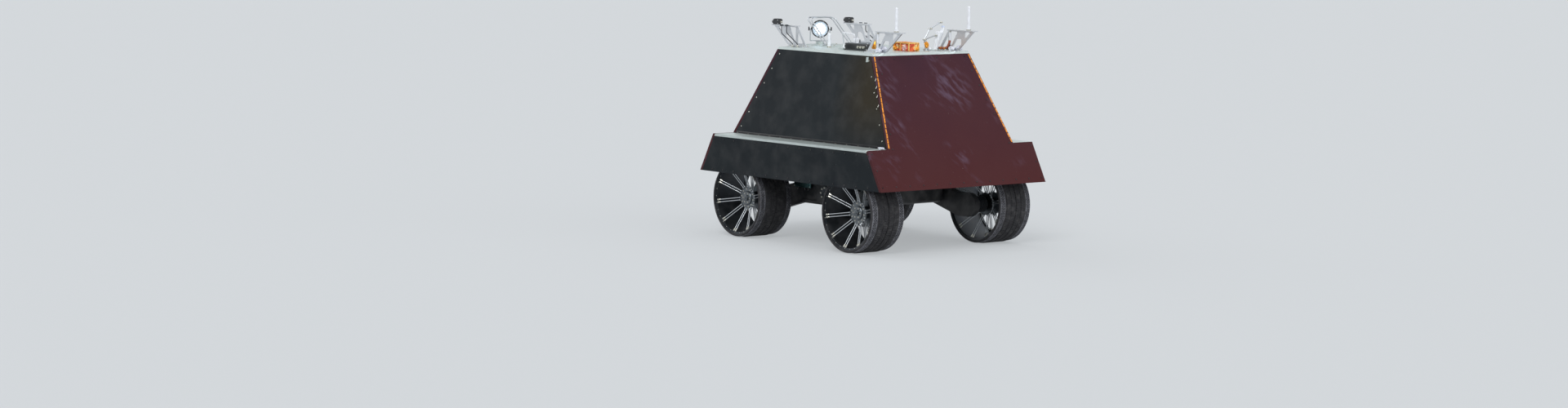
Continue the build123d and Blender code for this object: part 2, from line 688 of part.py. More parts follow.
def electronics_box():
    """Flat box with two upright round plugs on its lid and one on its rear face."""
    box = deck_box(ELECTRONICS_SIZE, ELECTRONICS_AT, BOX_CORNER_R)
    top = DECK_TOP_Z + ELECTRONICS_SIZE[2]
    for x in PLUG_PLACES:
        box += Pos(x, ELECTRONICS_AT[1] + PLUG_SIDE, top) * Cylinder(PLUG_R, PLUG_HEIGHT, align=LOW)
    rear = ELECTRONICS_AT[0] - ELECTRONICS_SIZE[0] / 2
    side_plug = Rot(0, -90, 0) * Cylinder(PLUG_R, PLUG_HEIGHT / 2, align=LOW)
    return box + Pos(rear, ELECTRONICS_AT[1] + PLUG_SIDE, DECK_TOP_Z + ELECTRONICS_SIZE[2] / 2) * side_plug


def from_rear(inward):
    """The place along the vehicle of what stands a given distance in from the deck's rear edge."""
    return inward - DECK_LENGTH / 2


def sensor():
    """White tapered sensor that leans outward, with two short bars on its lid."""
    cup = Cone(SENSOR_FOOT_R, SENSOR_TOP_R, SENSOR_HEIGHT, align=LOW)
    lid = Pos(0, 0, SENSOR_HEIGHT) * Cylinder(SENSOR_TOP_R, SENSOR_RIM, align=LOW)
    lid = chamfer(lid.edges().group_by(Axis.Z)[-1], SENSOR_RIM / 2)
    bar = Pos(0, -SENSOR_BAR_SIDE, SENSOR_HEIGHT) * Cylinder(SENSOR_BAR_R, SENSOR_BAR_LENGTH, align=LOW)
    bars = [Pos(x, 0, 0) * bar for x in (-SENSOR_BAR_STEP / 2, SENSOR_BAR_STEP / 2)]
    leaning = Pos(0, 0, SENSOR_SINK) * Rot(SENSOR_LEAN, 0, 0) * (cup + lid + bars)
    base = Cylinder(*SENSOR_BASE, align=LOW)
    return Pos(from_rear(SENSOR_INSET), SENSOR_Y, DECK_TOP_Z) * (base + leaning)


def sensor_arm():
    """Jointed arm of thin tubes beside the sensor, held still by its clamps."""
    foot = Vector(from_rear(SENSOR_ARM_INSET), SENSOR_ARM_Y, DECK_TOP_Z)
    points = [foot + Vector(0, 0, SENSOR_ARM_FOOT[1])]
    for across, up in SENSOR_ARM_LINKS:
        points.append(points[-1] + Vector(0, across, up))
    links = list(zip(points, points[1:]))
    links.append((points[1], points[1] + Vector(0, *SENSOR_ARM_BRACE)))
    arm = Pos(*foot) * Cylinder(*SENSOR_ARM_FOOT, align=LOW)
    for start, end in links:
        link = Plane(start, z_dir=end - start) * Cylinder(SENSOR_ARM_R, (end - start).length, align=LOW)
        arm += link
        arm += Pos(*end) * Sphere(SENSOR_ARM_KNOB_R)
    return arm


def rod_y(side, radius):
    """Where a lead of a given radius runs beside a rear bracket's web, on its left side."""
    return side * BRACKET_Y + BRACKET_WEB / 2 + SEAM + radius


def antenna_leads():
    """A white inline rod under each antenna's shelf, on a thin lead."""
    leads = []
    shelf = DECK_TOP_Z + BRACKET_HEIGHT - BRACKET_FLANGE_THICK
    for side in SIDES.values():
        place = Pos(from_rear(ROD_INSET), rod_y(side, ROD_R), 0)
        rod = Pos(0, 0, DECK_TOP_Z + ROD_FOOT) * Cylinder(ROD_R, ROD_TOP - ROD_FOOT, align=LOW)
        foot = DECK_TOP_Z + (BRACKET_FLANGE_THICK if side > 0 else ROD_FOOT)
        tail = Pos(0, 0, foot) * Cylinder(ROD_TAIL_R, shelf - foot, align=LOW)
        leads.append(place * (rod + tail))
    return Compound(children=leads)


def harness():
    """Foil-wrapped loom from the right antenna's rod, down beside the bracket and into a gland."""
    y = rod_y(-1, HARNESS_R)
    rest = DECK_TOP_Z + BRACKET_FLANGE_THICK + SEAM + HARNESS_R
    knee, turn = HARNESS_KNEE
    reach = BRACKET_FOOT + HARNESS_GLAND[0] + HARNESS_END_GAP
    route = [
        (from_rear(ROD_INSET), y, DECK_TOP_Z + ROD_FOOT),
        (from_rear(ROD_INSET), y, DECK_TOP_Z + turn),
        (from_rear(knee), y, rest),
        (from_rear(reach), y, rest),
    ]
    loom = tube(route, HARNESS_R, HARNESS_BENDS)
    gland = Pos(from_rear(reach), y, DECK_TOP_Z) * Cylinder(*HARNESS_GLAND, align=LOW)
    return loom + gland


def white_lead():
    """Stiff white lead that arches from the electronics box's front plug down to the deck."""
    start = DECK_TOP_Z + ELECTRONICS_SIZE[2] + PLUG_HEIGHT
    y = ELECTRONICS_AT[1] + PLUG_SIDE
    end_x, end_y = WHITE_LEAD_END
    peak_x, peak_z = WHITE_LEAD_PEAK
    route = [
        (PLUG_PLACES[0], y, start),
        (PLUG_PLACES[0], y, start + WHITE_LEAD_RISE),
        (peak_x, y, DECK_TOP_Z + peak_z),
        (end_x, end_y, DECK_TOP_Z + WHITE_LEAD_DROP),
        (end_x, end_y, DECK_TOP_Z),
    ]
    return tube(route, WHITE_LEAD_R, WHITE_LEAD_BENDS)


def payload_plate():
    """Bare flat plate on the deck that an instrument's foot can rest on."""
    plate = Box(*PLATE_SIZE, align=LOW)
    plate = chamfer(plate.edges().group_by(Axis.Z)[-1], PLATE_CHAMFER)
    return Pos(*PLATE_AT, DECK_TOP_Z) * plate


def beacon():
    rod = Cylinder(BEACON_R, BEACON_HEIGHT, align=LOW)
    return Pos(*BEACON_AT, DECK_TOP_Z) * fillet(rod.edges().group_by(Axis.Z)[-1], BEACON_TIP_R)


def build():
    """Every piece of the vehicle at its place, by name."""
    pieces = {
        "chassis_tub": tub(),
        "battery_pack": battery(),
        "floor_deck": floor_deck(),
        "underframe": underframe(),
        "cross_beams": cross_beams(),
        "ledge_ribs": ledge_ribs(),
        "top_deck": top_deck(),
        "camera_leads": camera_leads(),
        "antenna_leads": antenna_leads(),
        "white_lead": white_lead(),
        "lamp_mount": lamp_mount(),
        "lamp_guard": lamp_guard(),
        "lamp_yoke": lamp_yoke(),
        "lamp_head": lamp_head(),
        "lamp_lens": lamp_lens(),
        "electronics_box": electronics_box(),
        "film_wrapped_box": deck_box(BAY_BOX_SIZE, BAY_BOX_AT, BOX_CORNER_R),
        "sensor": sensor(),
        "sensor_arm": sensor_arm(),
        "harness": harness(),
        "payload_plate": payload_plate(),
        "beacon": beacon(),
    }
    wheel_parts = {"tyre": tyre(), "rim": rim(), "spoked_hub": hub(), "drive_unit": drive_unit()}
    for corner, (along, across) in CORNERS.items():
        for name, solid in wheel_parts.items():
            pieces[f"{name}_{corner}"] = wheel_place(along, across) * solid
        pieces[f"bracket_{corner}"] = bracket(along, across)
    for name, side in SIDES.items():
        pieces[f"rocker_arm_{name}"] = rocker(side)
        pieces[f"motor_controller_{name}"] = controller(side)
        pieces[f"skirt_{name}"] = skirt(side)
        pieces[f"side_panel_{name}"] = side_panel(side)
        pieces[f"antenna_{name}"] = antenna(side)
        pieces[f"camera_{name}"] = camera(side)
    for name, sign in ENDS.items():
        pieces[f"end_panel_{name}"] = end_panel(sign)
        pieces[f"edge_trim_{name}"] = edge_trim(sign)
    return pieces


if __name__ == "__main__":
    os.makedirs("parts", exist_ok=True)
    for node, solid in build().items():
        export_step(solid, f"parts/{node}.step")
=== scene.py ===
"""A four-wheeled planetary rover prototype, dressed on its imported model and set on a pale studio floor."""

import json
from contextlib import contextmanager
from functools import partial
from itertools import product
from math import atan2, copysign, cos, hypot, pi, radians, sin, tan, tau
from random import Random

import bmesh
import bpy
from bpy.props import FloatProperty, FloatVectorProperty, IntProperty, PointerProperty
from mathutils import Matrix, Quaternion, Vector


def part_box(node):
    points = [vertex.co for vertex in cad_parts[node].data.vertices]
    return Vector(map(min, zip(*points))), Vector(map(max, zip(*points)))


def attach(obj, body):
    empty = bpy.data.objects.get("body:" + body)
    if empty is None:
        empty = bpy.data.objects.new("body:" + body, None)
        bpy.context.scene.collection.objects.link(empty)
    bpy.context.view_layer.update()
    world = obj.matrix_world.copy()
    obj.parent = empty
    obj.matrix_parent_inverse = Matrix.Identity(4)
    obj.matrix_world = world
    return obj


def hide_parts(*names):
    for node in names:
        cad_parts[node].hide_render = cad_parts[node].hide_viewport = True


bl_info = {
    "name": "Planetary Rover Prototype",
    "version": (1, 0, 0),
    "blender": (4, 5, 0),
    "location": "View3D > Sidebar > Rover",
    "description": "Builds the looks of a planetary rover prototype on its packed model",
    "category": "Add Mesh",
}

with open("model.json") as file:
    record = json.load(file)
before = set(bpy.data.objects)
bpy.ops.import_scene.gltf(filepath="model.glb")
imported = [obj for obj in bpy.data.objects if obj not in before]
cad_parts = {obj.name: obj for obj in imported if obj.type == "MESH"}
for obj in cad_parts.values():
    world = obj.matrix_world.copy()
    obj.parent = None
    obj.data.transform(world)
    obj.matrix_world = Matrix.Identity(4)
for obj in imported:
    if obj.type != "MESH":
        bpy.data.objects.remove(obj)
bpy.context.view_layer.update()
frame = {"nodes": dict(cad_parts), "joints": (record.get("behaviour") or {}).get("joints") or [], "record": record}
JOINTS = {joint["name"]: joint for joint in frame["joints"]}
CORNERS = ("front_left", "front_right", "rear_left", "rear_right")
SIDES = {"left": 1, "right": -1}
ENDS = {"front": 1, "rear": -1}
BOTH = (-1, 1)
MM = 0.001
UP = Vector((0, 0, 1))

# The body's planes in metres: deck, ledges and skirts, how its panels lean, its brackets and arm pivots
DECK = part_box("top_deck")[1].z
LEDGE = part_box("floor_deck")[1].z
SKIRT_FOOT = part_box("skirt_left")[0].z
LEDGE_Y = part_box("skirt_left")[1].y
RAKE = radians(28.2)
DECK_HALF_X = 0.611
DECK_HALF_Y = 0.529
SHOULDER_Y = 0.690
FLARE = (SHOULDER_Y - DECK_HALF_Y) / (DECK - LEDGE)
BRACKET_Y = 0.400
PIVOT_Z = 0.418

# Places of the pieces on the deck: the brackets' shelves, leads, rods, plugs, lamp, sensor and sensor's arm
SHELF = DECK + 0.186
LEAD_Y = BRACKET_Y + 0.043
LEADS_OUT = (0.070, 0.003)
ROD_X = -DECK_HALF_X + 0.072
PLUG_Y = 0.264
LAMP_FACING = radians(140)
SENSOR_AT = Vector((-0.407, -0.343, DECK))
SENSOR_LEAN = radians(17.5)
ARM_FOOT = Vector((-0.410, -0.232, DECK))

# Pale film at the brackets' feet and on the left ledge: two corners, with their heights above the deck
FOOT_FILM = (
    (-0.606, -0.398, 0, -0.540, -0.350, 0.044),
    (-0.604, -0.490, 0, -0.540, -0.434, 0.050),
    (-0.606, -0.440, 0, -0.560, -0.404, 0.032),
    (-0.606, 0.404, 0.002, -0.535, 0.452, 0.044),
    (-0.606, 0.346, 0, -0.546, 0.398, 0.064),
    (-1.010, 0.712, LEDGE - DECK, -0.925, 0.742, LEDGE - DECK + 0.018),
)

# Where each loose tie stands on the deck and how far it leans, and where each clip sits on a side's rear edge
TIES = ((-0.585, 0.338, 0.2), (-0.575, 0.372, -0.25), (-0.598, -0.345, 0.1), (-0.596, -0.470, 0.3))
CLIPS = ((-0.710, 1.412), (-0.736, 1.352), (-0.766, 1.280), (-0.800, 1.205))

# Where a tyre's toothed band is paler: from and to a radius, and from and to a distance along its axle
TOOTH_TIPS = (0.3195, 0.3225)
TOOTHED_BAND = (0.113, 0.119)

# Where the rear panel is most wiped, and the film box's painted highlights: middle, reach and colour
SMEAR = ((-0.76, -0.20, 1.34), 0.27)
PAINTED_FILM_HIGHLIGHTS = (
    ((-0.320, 0.010, 1.655), 0.026, "#ffe2a0"),
    ((-0.407, 0.010, 1.652), 0.036, "#f8cfcb"),
    ((-0.470, -0.078, 1.650), 0.036, "#ffe08e"),
)

# Lacing of the wheels, in millimetres from the wheel's middle
SPOKE_PAIRS = 10
SPOKE_GAP = 22
SPOKE_ROOT = 82
SPOKE_END = 284.3
FLANGE_OFFSET = 45
RING_OFFSET = 150
HUB_FACE = 51
HUB_EDGE = 97
CAP_FACE = 63
RING_FACE = 159

# Name, where from, strength and width in degrees of each light of the studio
LIGHTS = (
    ("key", (-0.45, 0.70, 0.75), 1.45, 28),
    ("rear_fill", (-0.95, -0.25, 0.50), 0.85, 60),
    ("front_fill", (0.90, 0.20, 0.45), 0.60, 60),
    ("top", (0.05, -0.10, 1.0), 0.65, 60),
)

# The camera's place, the point it looks at, its roll in degrees and its lens in millimetres
CAMERA_AT = (-20.8964, 18.0036, 3.0637)
CAMERA_TARGET = (-0.0075, 0.9526, 0.3506)
CAMERA_ROLL = 0.778
CAMERA_LENS = 74.89


def linear(code):
    """An sRGB hex colour as linear red, green, blue and alpha."""
    parts = [int(code[i:i + 2], 16) / 255 for i in (1, 3, 5)]
    return [p / 12.92 if p <= 0.04045 else ((p + 0.055) / 1.055) ** 2.4 for p in parts] + [1.0]


def scaled(tint, share, lift=0.0):
    """A colour times a share, and lifted by an amount."""
    return [c * share + lift for c in tint[:3]] + [1.0]


def colour(label, text, code):
    """A colour that a user can change."""
    return FloatVectorProperty(name=label, description=text, subtype="COLOR", size=4, min=0, max=1,
                               default=linear(code))


def length(label, text, size):
    """A length that a user can change, given here in millimetres."""
    return FloatProperty(name=label, description=text, unit="LENGTH", default=size * MM, min=0)


class RoverSizes(bpy.types.PropertyGroup):
    """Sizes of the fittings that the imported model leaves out"""
    lug_columns: IntProperty(name="Lug columns", description="Blocks round one tyre", default=96, min=12)
    lug_height: length("Lug height", "How far the tread blocks stand up", 4)
    tooth_depth: length("Tooth depth", "How deep the shoulder band's triangles are cut", 7)
    bolt_size: length("Bolt size", "Thread diameter of the hub and bracket bolts", 8)
    screw_size: length("Screw size", "Head diameter of the small housing screws", 6)
    rivet_pitch: length("Rivet pitch", "Distance between fasteners along the panels", 145)
    rivet_size: length("Rivet size", "Head diameter of the panel fasteners", 12)
    tape_lap: length("Tape length", "Length of one piece of the edge tape", 46)
    film_crease: length("Film crease", "How deep the creases in the wrapping film are", 7)


class RoverColours(bpy.types.PropertyGroup):
    """Colours of the rover's finishes"""
    rubber: colour("Rubber", "Tyre rubber under its dust", "#202024")
    dust: colour("Dust", "Pale mineral dust of the test ground", "#7f7d7c")
    maroon: colour("End panels", "Dark laminate under amber film", "#44191a")
    black: colour("Side panels", "Dark laminate of the sides", "#0a1218")
    amber: colour("Amber tape", "Metallised film tape", "#f2982a")
    foil: colour("Amber film", "Crinkled film of the deck box", "#ee5a22")
    plate: colour("Bare plate", "Rolled aluminium", "#cdd6d4")
    copper: colour("Copper film", "Film round the loom", "#b0583a")
    white: colour("White plastic", "Moulded sensor and antenna covers", "#eceff4")


def sizes():
    return bpy.context.scene.rover_sizes


def colours():
    return bpy.context.scene.rover_colours


# Materials

def add(tree, kind, settings=(), out=""):
    """Adds a node with its settings and links, and gives its first output or the one that is named."""
    node = tree.nodes.new("ShaderNode" + kind)
    for key, value in dict(settings).items():
        if str(key)[0].islower():
            setattr(node, key, value)
            continue
        sockets = [s for s in node.inputs if s.enabled]
        socket = sockets[key] if isinstance(key, int) else next(s for s in sockets if s.name == key)
        if isinstance(value, bpy.types.NodeSocket):
            tree.links.new(value, socket)
        else:
            socket.default_value = value
    found = [s for s in node.outputs if s.enabled and out in ("", s.name)]
    return found[0] if found else None


def material(name):
    """A new material, what adds its nodes, and the object's own coordinates."""
    made = bpy.data.materials.new(name)
    made.use_nodes = True
    made.node_tree.nodes.clear()
    node = partial(add, made.node_tree)
    return made, node, node("TexCoord", out="Object")


def surfaced(made, node, settings, relief=None, depth=0.0, strength=1.0):
    """Gives a material its surface shader, raised by a pattern to a depth in millimetres."""
    if relief:
        raised = {"Strength": strength, "Distance": depth * MM, "Height": relief}
        settings = {**settings, "Normal": node("Bump", raised)}
    node("OutputMaterial", {"Surface": node("BsdfPrincipled", settings)})
    return made


def speckle(node, place, size, detail=4, low=0.4, high=0.6, span=(0, 1), stretch=(1, 1, 1), turn=0):
    """Noise of one feature size in millimetres, with what lies between two levels spread over a span."""
    laid = node("Mapping", {"vector_type": "TEXTURE", "Rotation": (radians(turn), 0, 0),
                            "Scale": [1 / factor for factor in stretch], "Vector": place})
    grain = node("TexNoise", {"Scale": 1 / (size * MM), "Detail": detail, "Vector": laid})
    return node("MapRange", {"From Min": low, "From Max": high, "To Min": span[0], "To Max": span[1],
                             "Value": grain})


def dusting(node, place, size, amount, on_top=0.0):
    """Where dust lies: patches of noise, with more of it on what faces up."""
    patches = speckle(node, place, size, detail=8, low=0.42, high=0.72, span=(0, amount))
    if not on_top:
        return patches
    up = node("SeparateXYZ", {"Vector": node("NewGeometry", out="Normal")}, "Z")
    level = node("MapRange", {"From Min": 0.2, "From Max": 1.0, "To Max": on_top, "Value": up})
    grain = speckle(node, place, size / 3, detail=6, low=0.3, high=0.75)
    lying = node("Math", {"operation": "MULTIPLY", 0: grain, 1: level})
    return node("Math", {"operation": "MAXIMUM", 0: patches, 1: lying})


def from_wheel(node, place, keep, low, high):
    """0 to 1 between two distances in metres from the nearest wheel's middle, along the kept axes."""
    middle = [-c * k for c, k in zip(JOINTS["wheel_front_left_spin"]["pos_m"], keep)]
    near = node("VectorMath", {"operation": "ABSOLUTE", 0: place})
    offset = node("Mapping", {"Location": middle, "Scale": keep, "Vector": near})
    away = node("VectorMath", {"operation": "LENGTH", 0: offset}, "Value")
    return node("MapRange", {"From Min": low, "From Max": high, "Value": away})


def near_to(node, place, centre, reach, most):
    """The most at a place, falling to 0 at a reach from it in metres."""
    offset = node("Mapping", {"Location": [-c for c in centre], "Vector": place})
    away = node("VectorMath", {"operation": "LENGTH", 0: offset}, "Value")
    return node("MapRange", {"From Min": reach, "From Max": 0.0, "To Max": most, "Value": away})


def height_share(node, place, low, high):
    """How far up a point lies between two heights in metres, from 0 to 1."""
    z = node("SeparateXYZ", {"Vector": place}, "Z")
    return node("MapRange", {"From Min": low, "From Max": high, "Value": z})


def moulded_rubber():
    """Moulded tyre rubber: near black and dull under thin pale dust, and paler on the toothed band's tips."""
    made, node, place = material("moulded_rubber")
    fine = speckle(node, place, 7, detail=4, low=0.35, high=0.8, span=(0, 0.22))
    coarse = dusting(node, place, 45, amount=0.28, on_top=0.18)
    powder = node("Math", {"operation": "MAXIMUM", 0: coarse, 1: fine})
    dusty = node("Mix", {"data_type": "RGBA", "Factor": powder, "A": colours().rubber, "B": colours().dust})
    tips = from_wheel(node, place, (1, 0, 1), *TOOTH_TIPS)
    band = from_wheel(node, place, (0, 1, 0), *TOOTHED_BAND)
    shoulder = node("Math", {"operation": "MULTIPLY", 0: tips, 1: band})
    patchy = speckle(node, place, 30, detail=4, low=0.2, high=0.6, span=(0, 0.5))
    pale = node("Math", {"operation": "MULTIPLY", 0: shoulder, 1: patchy})
    base = node("Mix", {"data_type": "RGBA", "Factor": pale, "A": dusty, "B": linear("#93949c")})
    # The mould's grain is about 1 mm, drawn at 3 mm so that it shows
    return surfaced(made, node, {"Base Color": base, "Roughness": 0.8, "Specular IOR Level": 0.3},
                    speckle(node, place, 3, detail=3), depth=0.4, strength=0.5)


def dusty_metal(made, node, place, metal, relief, rough, size, amount, on_top):
    """Bare metal of one colour or pattern under a film of dull dust."""
    dust = dusting(node, place, size, amount=amount, on_top=on_top)
    base = node("Mix", {"data_type": "RGBA", "Factor": dust, "A": metal, "B": colours().dust})
    dull = node("MapRange", {"To Min": rough, "To Max": 0.85, "Value": dust})
    return surfaced(made, node, {"Base Color": base, "Metallic": 1.0, "Roughness": dull}, relief,
                    depth=0.15, strength=0.35)


def bare_metal(name, tint, rough, grain, dust=0.1, on_top=0.0, stretch=(1, 1, 1)):
    """Bare metal: even, with fine rolling or milling lines one way and a film of dust."""
    made, node, place = material(name)
    lines = speckle(node, place, grain, detail=3, low=0.3, high=0.7, span=(0, 1), stretch=stretch)
    tint = linear(tint) if isinstance(tint, str) else tint
    shade = node("Mix", {"data_type": "RGBA", "Factor": lines, "A": tint, "B": scaled(tint, share=0.902)})
    return dusty_metal(made, node, place, shade, lines, rough=rough, size=90, amount=dust, on_top=on_top)


def laced_wheel():
    """Drawn rods that run out of a cast hub: pale satin rods, with the hub darker, duller and dustier."""
    made, node, place = material("laced_wheel")
    hub = from_wheel(node, place, (1, 0, 1), HUB_EDGE * MM, (HUB_EDGE - 3) * MM)
    grain = speckle(node, place, 3, detail=3, low=0.3, high=0.7)
    metals = []
    for share, pale, deep in ((0.3, "#c8ccd0", "#9a9ea3"), (0.4, "#74797d", "#54585c")):
        part = node("Math", {"operation": "MULTIPLY", 0: grain, 1: share})
        shades = {"data_type": "RGBA", "Factor": part, "A": linear(pale), "B": linear(deep)}
        metals.append(node("Mix", shades))
    metal = node("Mix", {"data_type": "RGBA", "Factor": hub, "A": metals[0], "B": metals[1]})
    return dusty_metal(made, node, place, metal, grain, rough=0.32, size=70, amount=0.18, on_top=0.12)


def painted(name, tint, rough, peel, dust, on_top=0.0, coat=0.0):
    """Paint or powder coat: even colour with a faint orange peel, and dust on top."""
    made, node, place = material(name)
    tones = speckle(node, place, 300, detail=3, span=(0, 0.25))
    dusted = dusting(node, place, 110, amount=dust, on_top=on_top)
    shade = node("Mix", {"data_type": "RGBA", "Factor": tones, "A": linear(tint),
                         "B": scaled(linear(tint), share=1.5, lift=0.003)})
    base = node("Mix", {"data_type": "RGBA", "Factor": dusted, "A": shade, "B": colours().dust})
    return surfaced(made, node, {"Base Color": base, "Roughness": rough, "Coat Weight": coat,
                                 "Coat Roughness": 0.12}, speckle(node, place, peel, detail=2),
                    depth=0.2, strength=0.25)


def end_laminate():
    """Dark laminate under amber film: plum above, brown below, half gloss, with wiped dust and specks."""
    made, node, place = material("end_laminate")
    tint = node("Mix", {"data_type": "RGBA", "Factor": height_share(node, place, SKIRT_FOOT, DECK),
                        "A": colours().maroon, "B": linear("#381b2a")})
    tones = speckle(node, place, 500, detail=2, low=0.3, high=0.7, span=(0, 0.5))
    shade = node("Mix", {"data_type": "RGBA", "Factor": tones, "A": tint, "B": linear("#452023")})
    smear = speckle(node, place, 55, detail=6, low=0.47, high=0.70, span=(0, 0.5),
                    stretch=(1, 0.28, 1.2), turn=54)
    patchy = speckle(node, place, 330, detail=1, low=0.55, high=0.68, span=(0, 0.7))
    near = near_to(node, place, *SMEAR, most=1.8)
    where = node("Math", {"operation": "MAXIMUM", "use_clamp": True, 0: near, 1: patchy})
    wiped = node("Math", {"operation": "MULTIPLY", 0: smear, 1: where})
    dusty = node("Mix", {"data_type": "RGBA", "Factor": wiped, "A": shade, "B": linear("#6f5f74")})
    specks = speckle(node, place, 9, detail=2, low=0.75, high=0.79, span=(0, 0.4))
    base = node("Mix", {"data_type": "RGBA", "Factor": specks, "A": dusty, "B": linear("#a8a2a6")})
    level = node("MapRange", {"To Min": 0.36, "To Max": 1.0, "Value": wiped})
    # The panel is laid up by hand, so it is flat only to about half a millimetre
    return surfaced(made, node, {"Base Color": base, "Roughness": level, "Specular IOR Level": 0.14},
                    speckle(node, place, 260, detail=3), depth=1.2, strength=0.5)


def side_laminate():
    """Dark side laminate: near black with a cool sheen, and a painted warm glow towards its upper rear."""
    made, node, place = material("side_laminate")
    tones = speckle(node, place, 450, detail=3, low=0.35, high=0.7, span=(0, 0.6))
    shade = node("Mix", {"data_type": "RGBA", "Factor": tones, "A": colours().black, "B": linear("#141c20")})
    # The upper rear is warmed towards a brown: a painted warm glow
    rear = node("MapRange", {"From Min": -0.22, "From Max": -0.62, "To Max": 0.85,
                             "Value": node("SeparateXYZ", {"Vector": place}, "X")})
    high = height_share(node, place, LEDGE - 0.05, LEDGE + 0.35)
    glow = node("Math", {"operation": "MULTIPLY", 0: rear, 1: high})
    warm = node("Mix", {"data_type": "RGBA", "Factor": glow, "A": shade, "B": linear("#2a220f")})
    dusted = dusting(node, place, 140, amount=0.07, on_top=0.2)
    dusty = node("Mix", {"data_type": "RGBA", "Factor": dusted, "A": warm, "B": colours().dust})
    specks = speckle(node, place, 8, detail=2, low=0.75, high=0.79, span=(0, 0.4))
    base = node("Mix", {"data_type": "RGBA", "Factor": specks, "A": dusty, "B": linear("#8d9496")})
    return surfaced(made, node, {"Base Color": base, "Roughness": 0.5, "Specular IOR Level": 0.16},
                    speckle(node, place, 320, detail=3), depth=1.0, strength=0.4)


def film(name, tint, crease, rough=0.22, strength=0.8, metal=0.85, deep=None, painted_shade_share=0.85, gleam=None,
         lit=()):
    """Metallised polyimide film: coloured mirror-like metal broken up by sharp creases."""
    made, node, place = material(name)
    tint = linear(tint) if isinstance(tint, str) else tint
    # Mottled patches darkened towards the deep colour: painted shade of the creases' hollows
    tones = speckle(node, place, crease * 2, detail=5, low=0.35, high=0.65, span=(painted_shade_share, 0))
    shade = node("Mix", {"data_type": "RGBA", "Factor": tones, "A": tint,
                         "B": linear(deep) if deep else scaled(tint, share=0.45)})
    # Gleams: painted highlights in patches of noise
    if gleam:
        gleams = speckle(node, place, crease * 1.3, detail=4, low=0.50, high=0.68, span=(0, 0.85))
        shade = node("Mix", {"data_type": "RGBA", "Factor": gleams, "A": shade, "B": linear(gleam)})
    # Patches brightened at given places: painted highlights
    for centre, reach, bright in lit:
        ragged = speckle(node, place, crease * 0.6, detail=3, low=0.3, high=0.5)
        near = near_to(node, place, centre, reach, most=2.2)
        patch = node("Math", {"operation": "MULTIPLY", 0: near, 1: ragged})
        shade = node("Mix", {"data_type": "RGBA", "Factor": patch, "A": shade, "B": linear(bright)})
    folds = node("TexVoronoi", {"Scale": 1 / (crease * MM), "Detail": 2, "Vector": place})
    return surfaced(made, node, {"Base Color": shade, "Metallic": metal, "Roughness": rough,
                                 "Coat Weight": 0.5, "Coat Roughness": 0.1}, folds,
                    depth=crease * 0.12, strength=strength)


def moulded_white():
    """Injection-moulded white plastic, half gloss, a little dulled by dust."""
    made, node, place = material("moulded_white")
    base = node("Mix", {"data_type": "RGBA", "Factor": dusting(node, place, 40, amount=0.18, on_top=0.15),
                        "A": colours().white, "B": colours().dust})
    return surfaced(made, node, {"Base Color": base, "Roughness": 0.34, "IOR": 1.49, "Coat Weight": 0.2},
                    speckle(node, place, 2, detail=2), depth=0.05, strength=0.2)


def lit_lens(name, tint, glow):
    """The lamp's lit face: clear lens glass over a bank of cool white light."""
    made, node, place = material(name)
    ripple = node("TexVoronoi", {"Scale": 1 / (14 * MM), "Vector": place})
    return surfaced(made, node, {"Base Color": linear(tint), "Roughness": 0.12, "Emission Strength": glow,
                                 "Emission Color": linear("#e9f5ff")}, ripple, depth=0.6, strength=0.4)


def dark_glass():
    """Coated camera glass: black, very smooth, with a blue-violet coat."""
    made, node, place = material("dark_glass")
    tones = speckle(node, place, 30, detail=1)
    base = node("Mix", {"data_type": "RGBA", "Factor": tones, "A": linear("#05060a"), "B": linear("#0a0c16")})
    return surfaced(made, node, {"Base Color": base, "Roughness": 0.05, "Coat Weight": 1.0,
                                 "Coat Tint": linear("#9fb4ff"), "IOR": 1.6})


def cable_jacket():
    """Braided black cable sleeve with a fine weave."""
    made, node, place = material("cable_jacket")
    # The sleeve's threads are 0.4 mm, drawn at 2 mm so that they show
    weave = node("TexWave", {"Scale": 1 / (2 * MM * tau), "Distortion": 1.5, "Vector": place}, "Fac")
    base = node("Mix", {"data_type": "RGBA", "Factor": weave, "A": linear("#14161a"), "B": linear("#3c4046")})
    return surfaced(made, node, {"Base Color": base, "Roughness": 0.6}, weave, depth=0.3, strength=0.6)


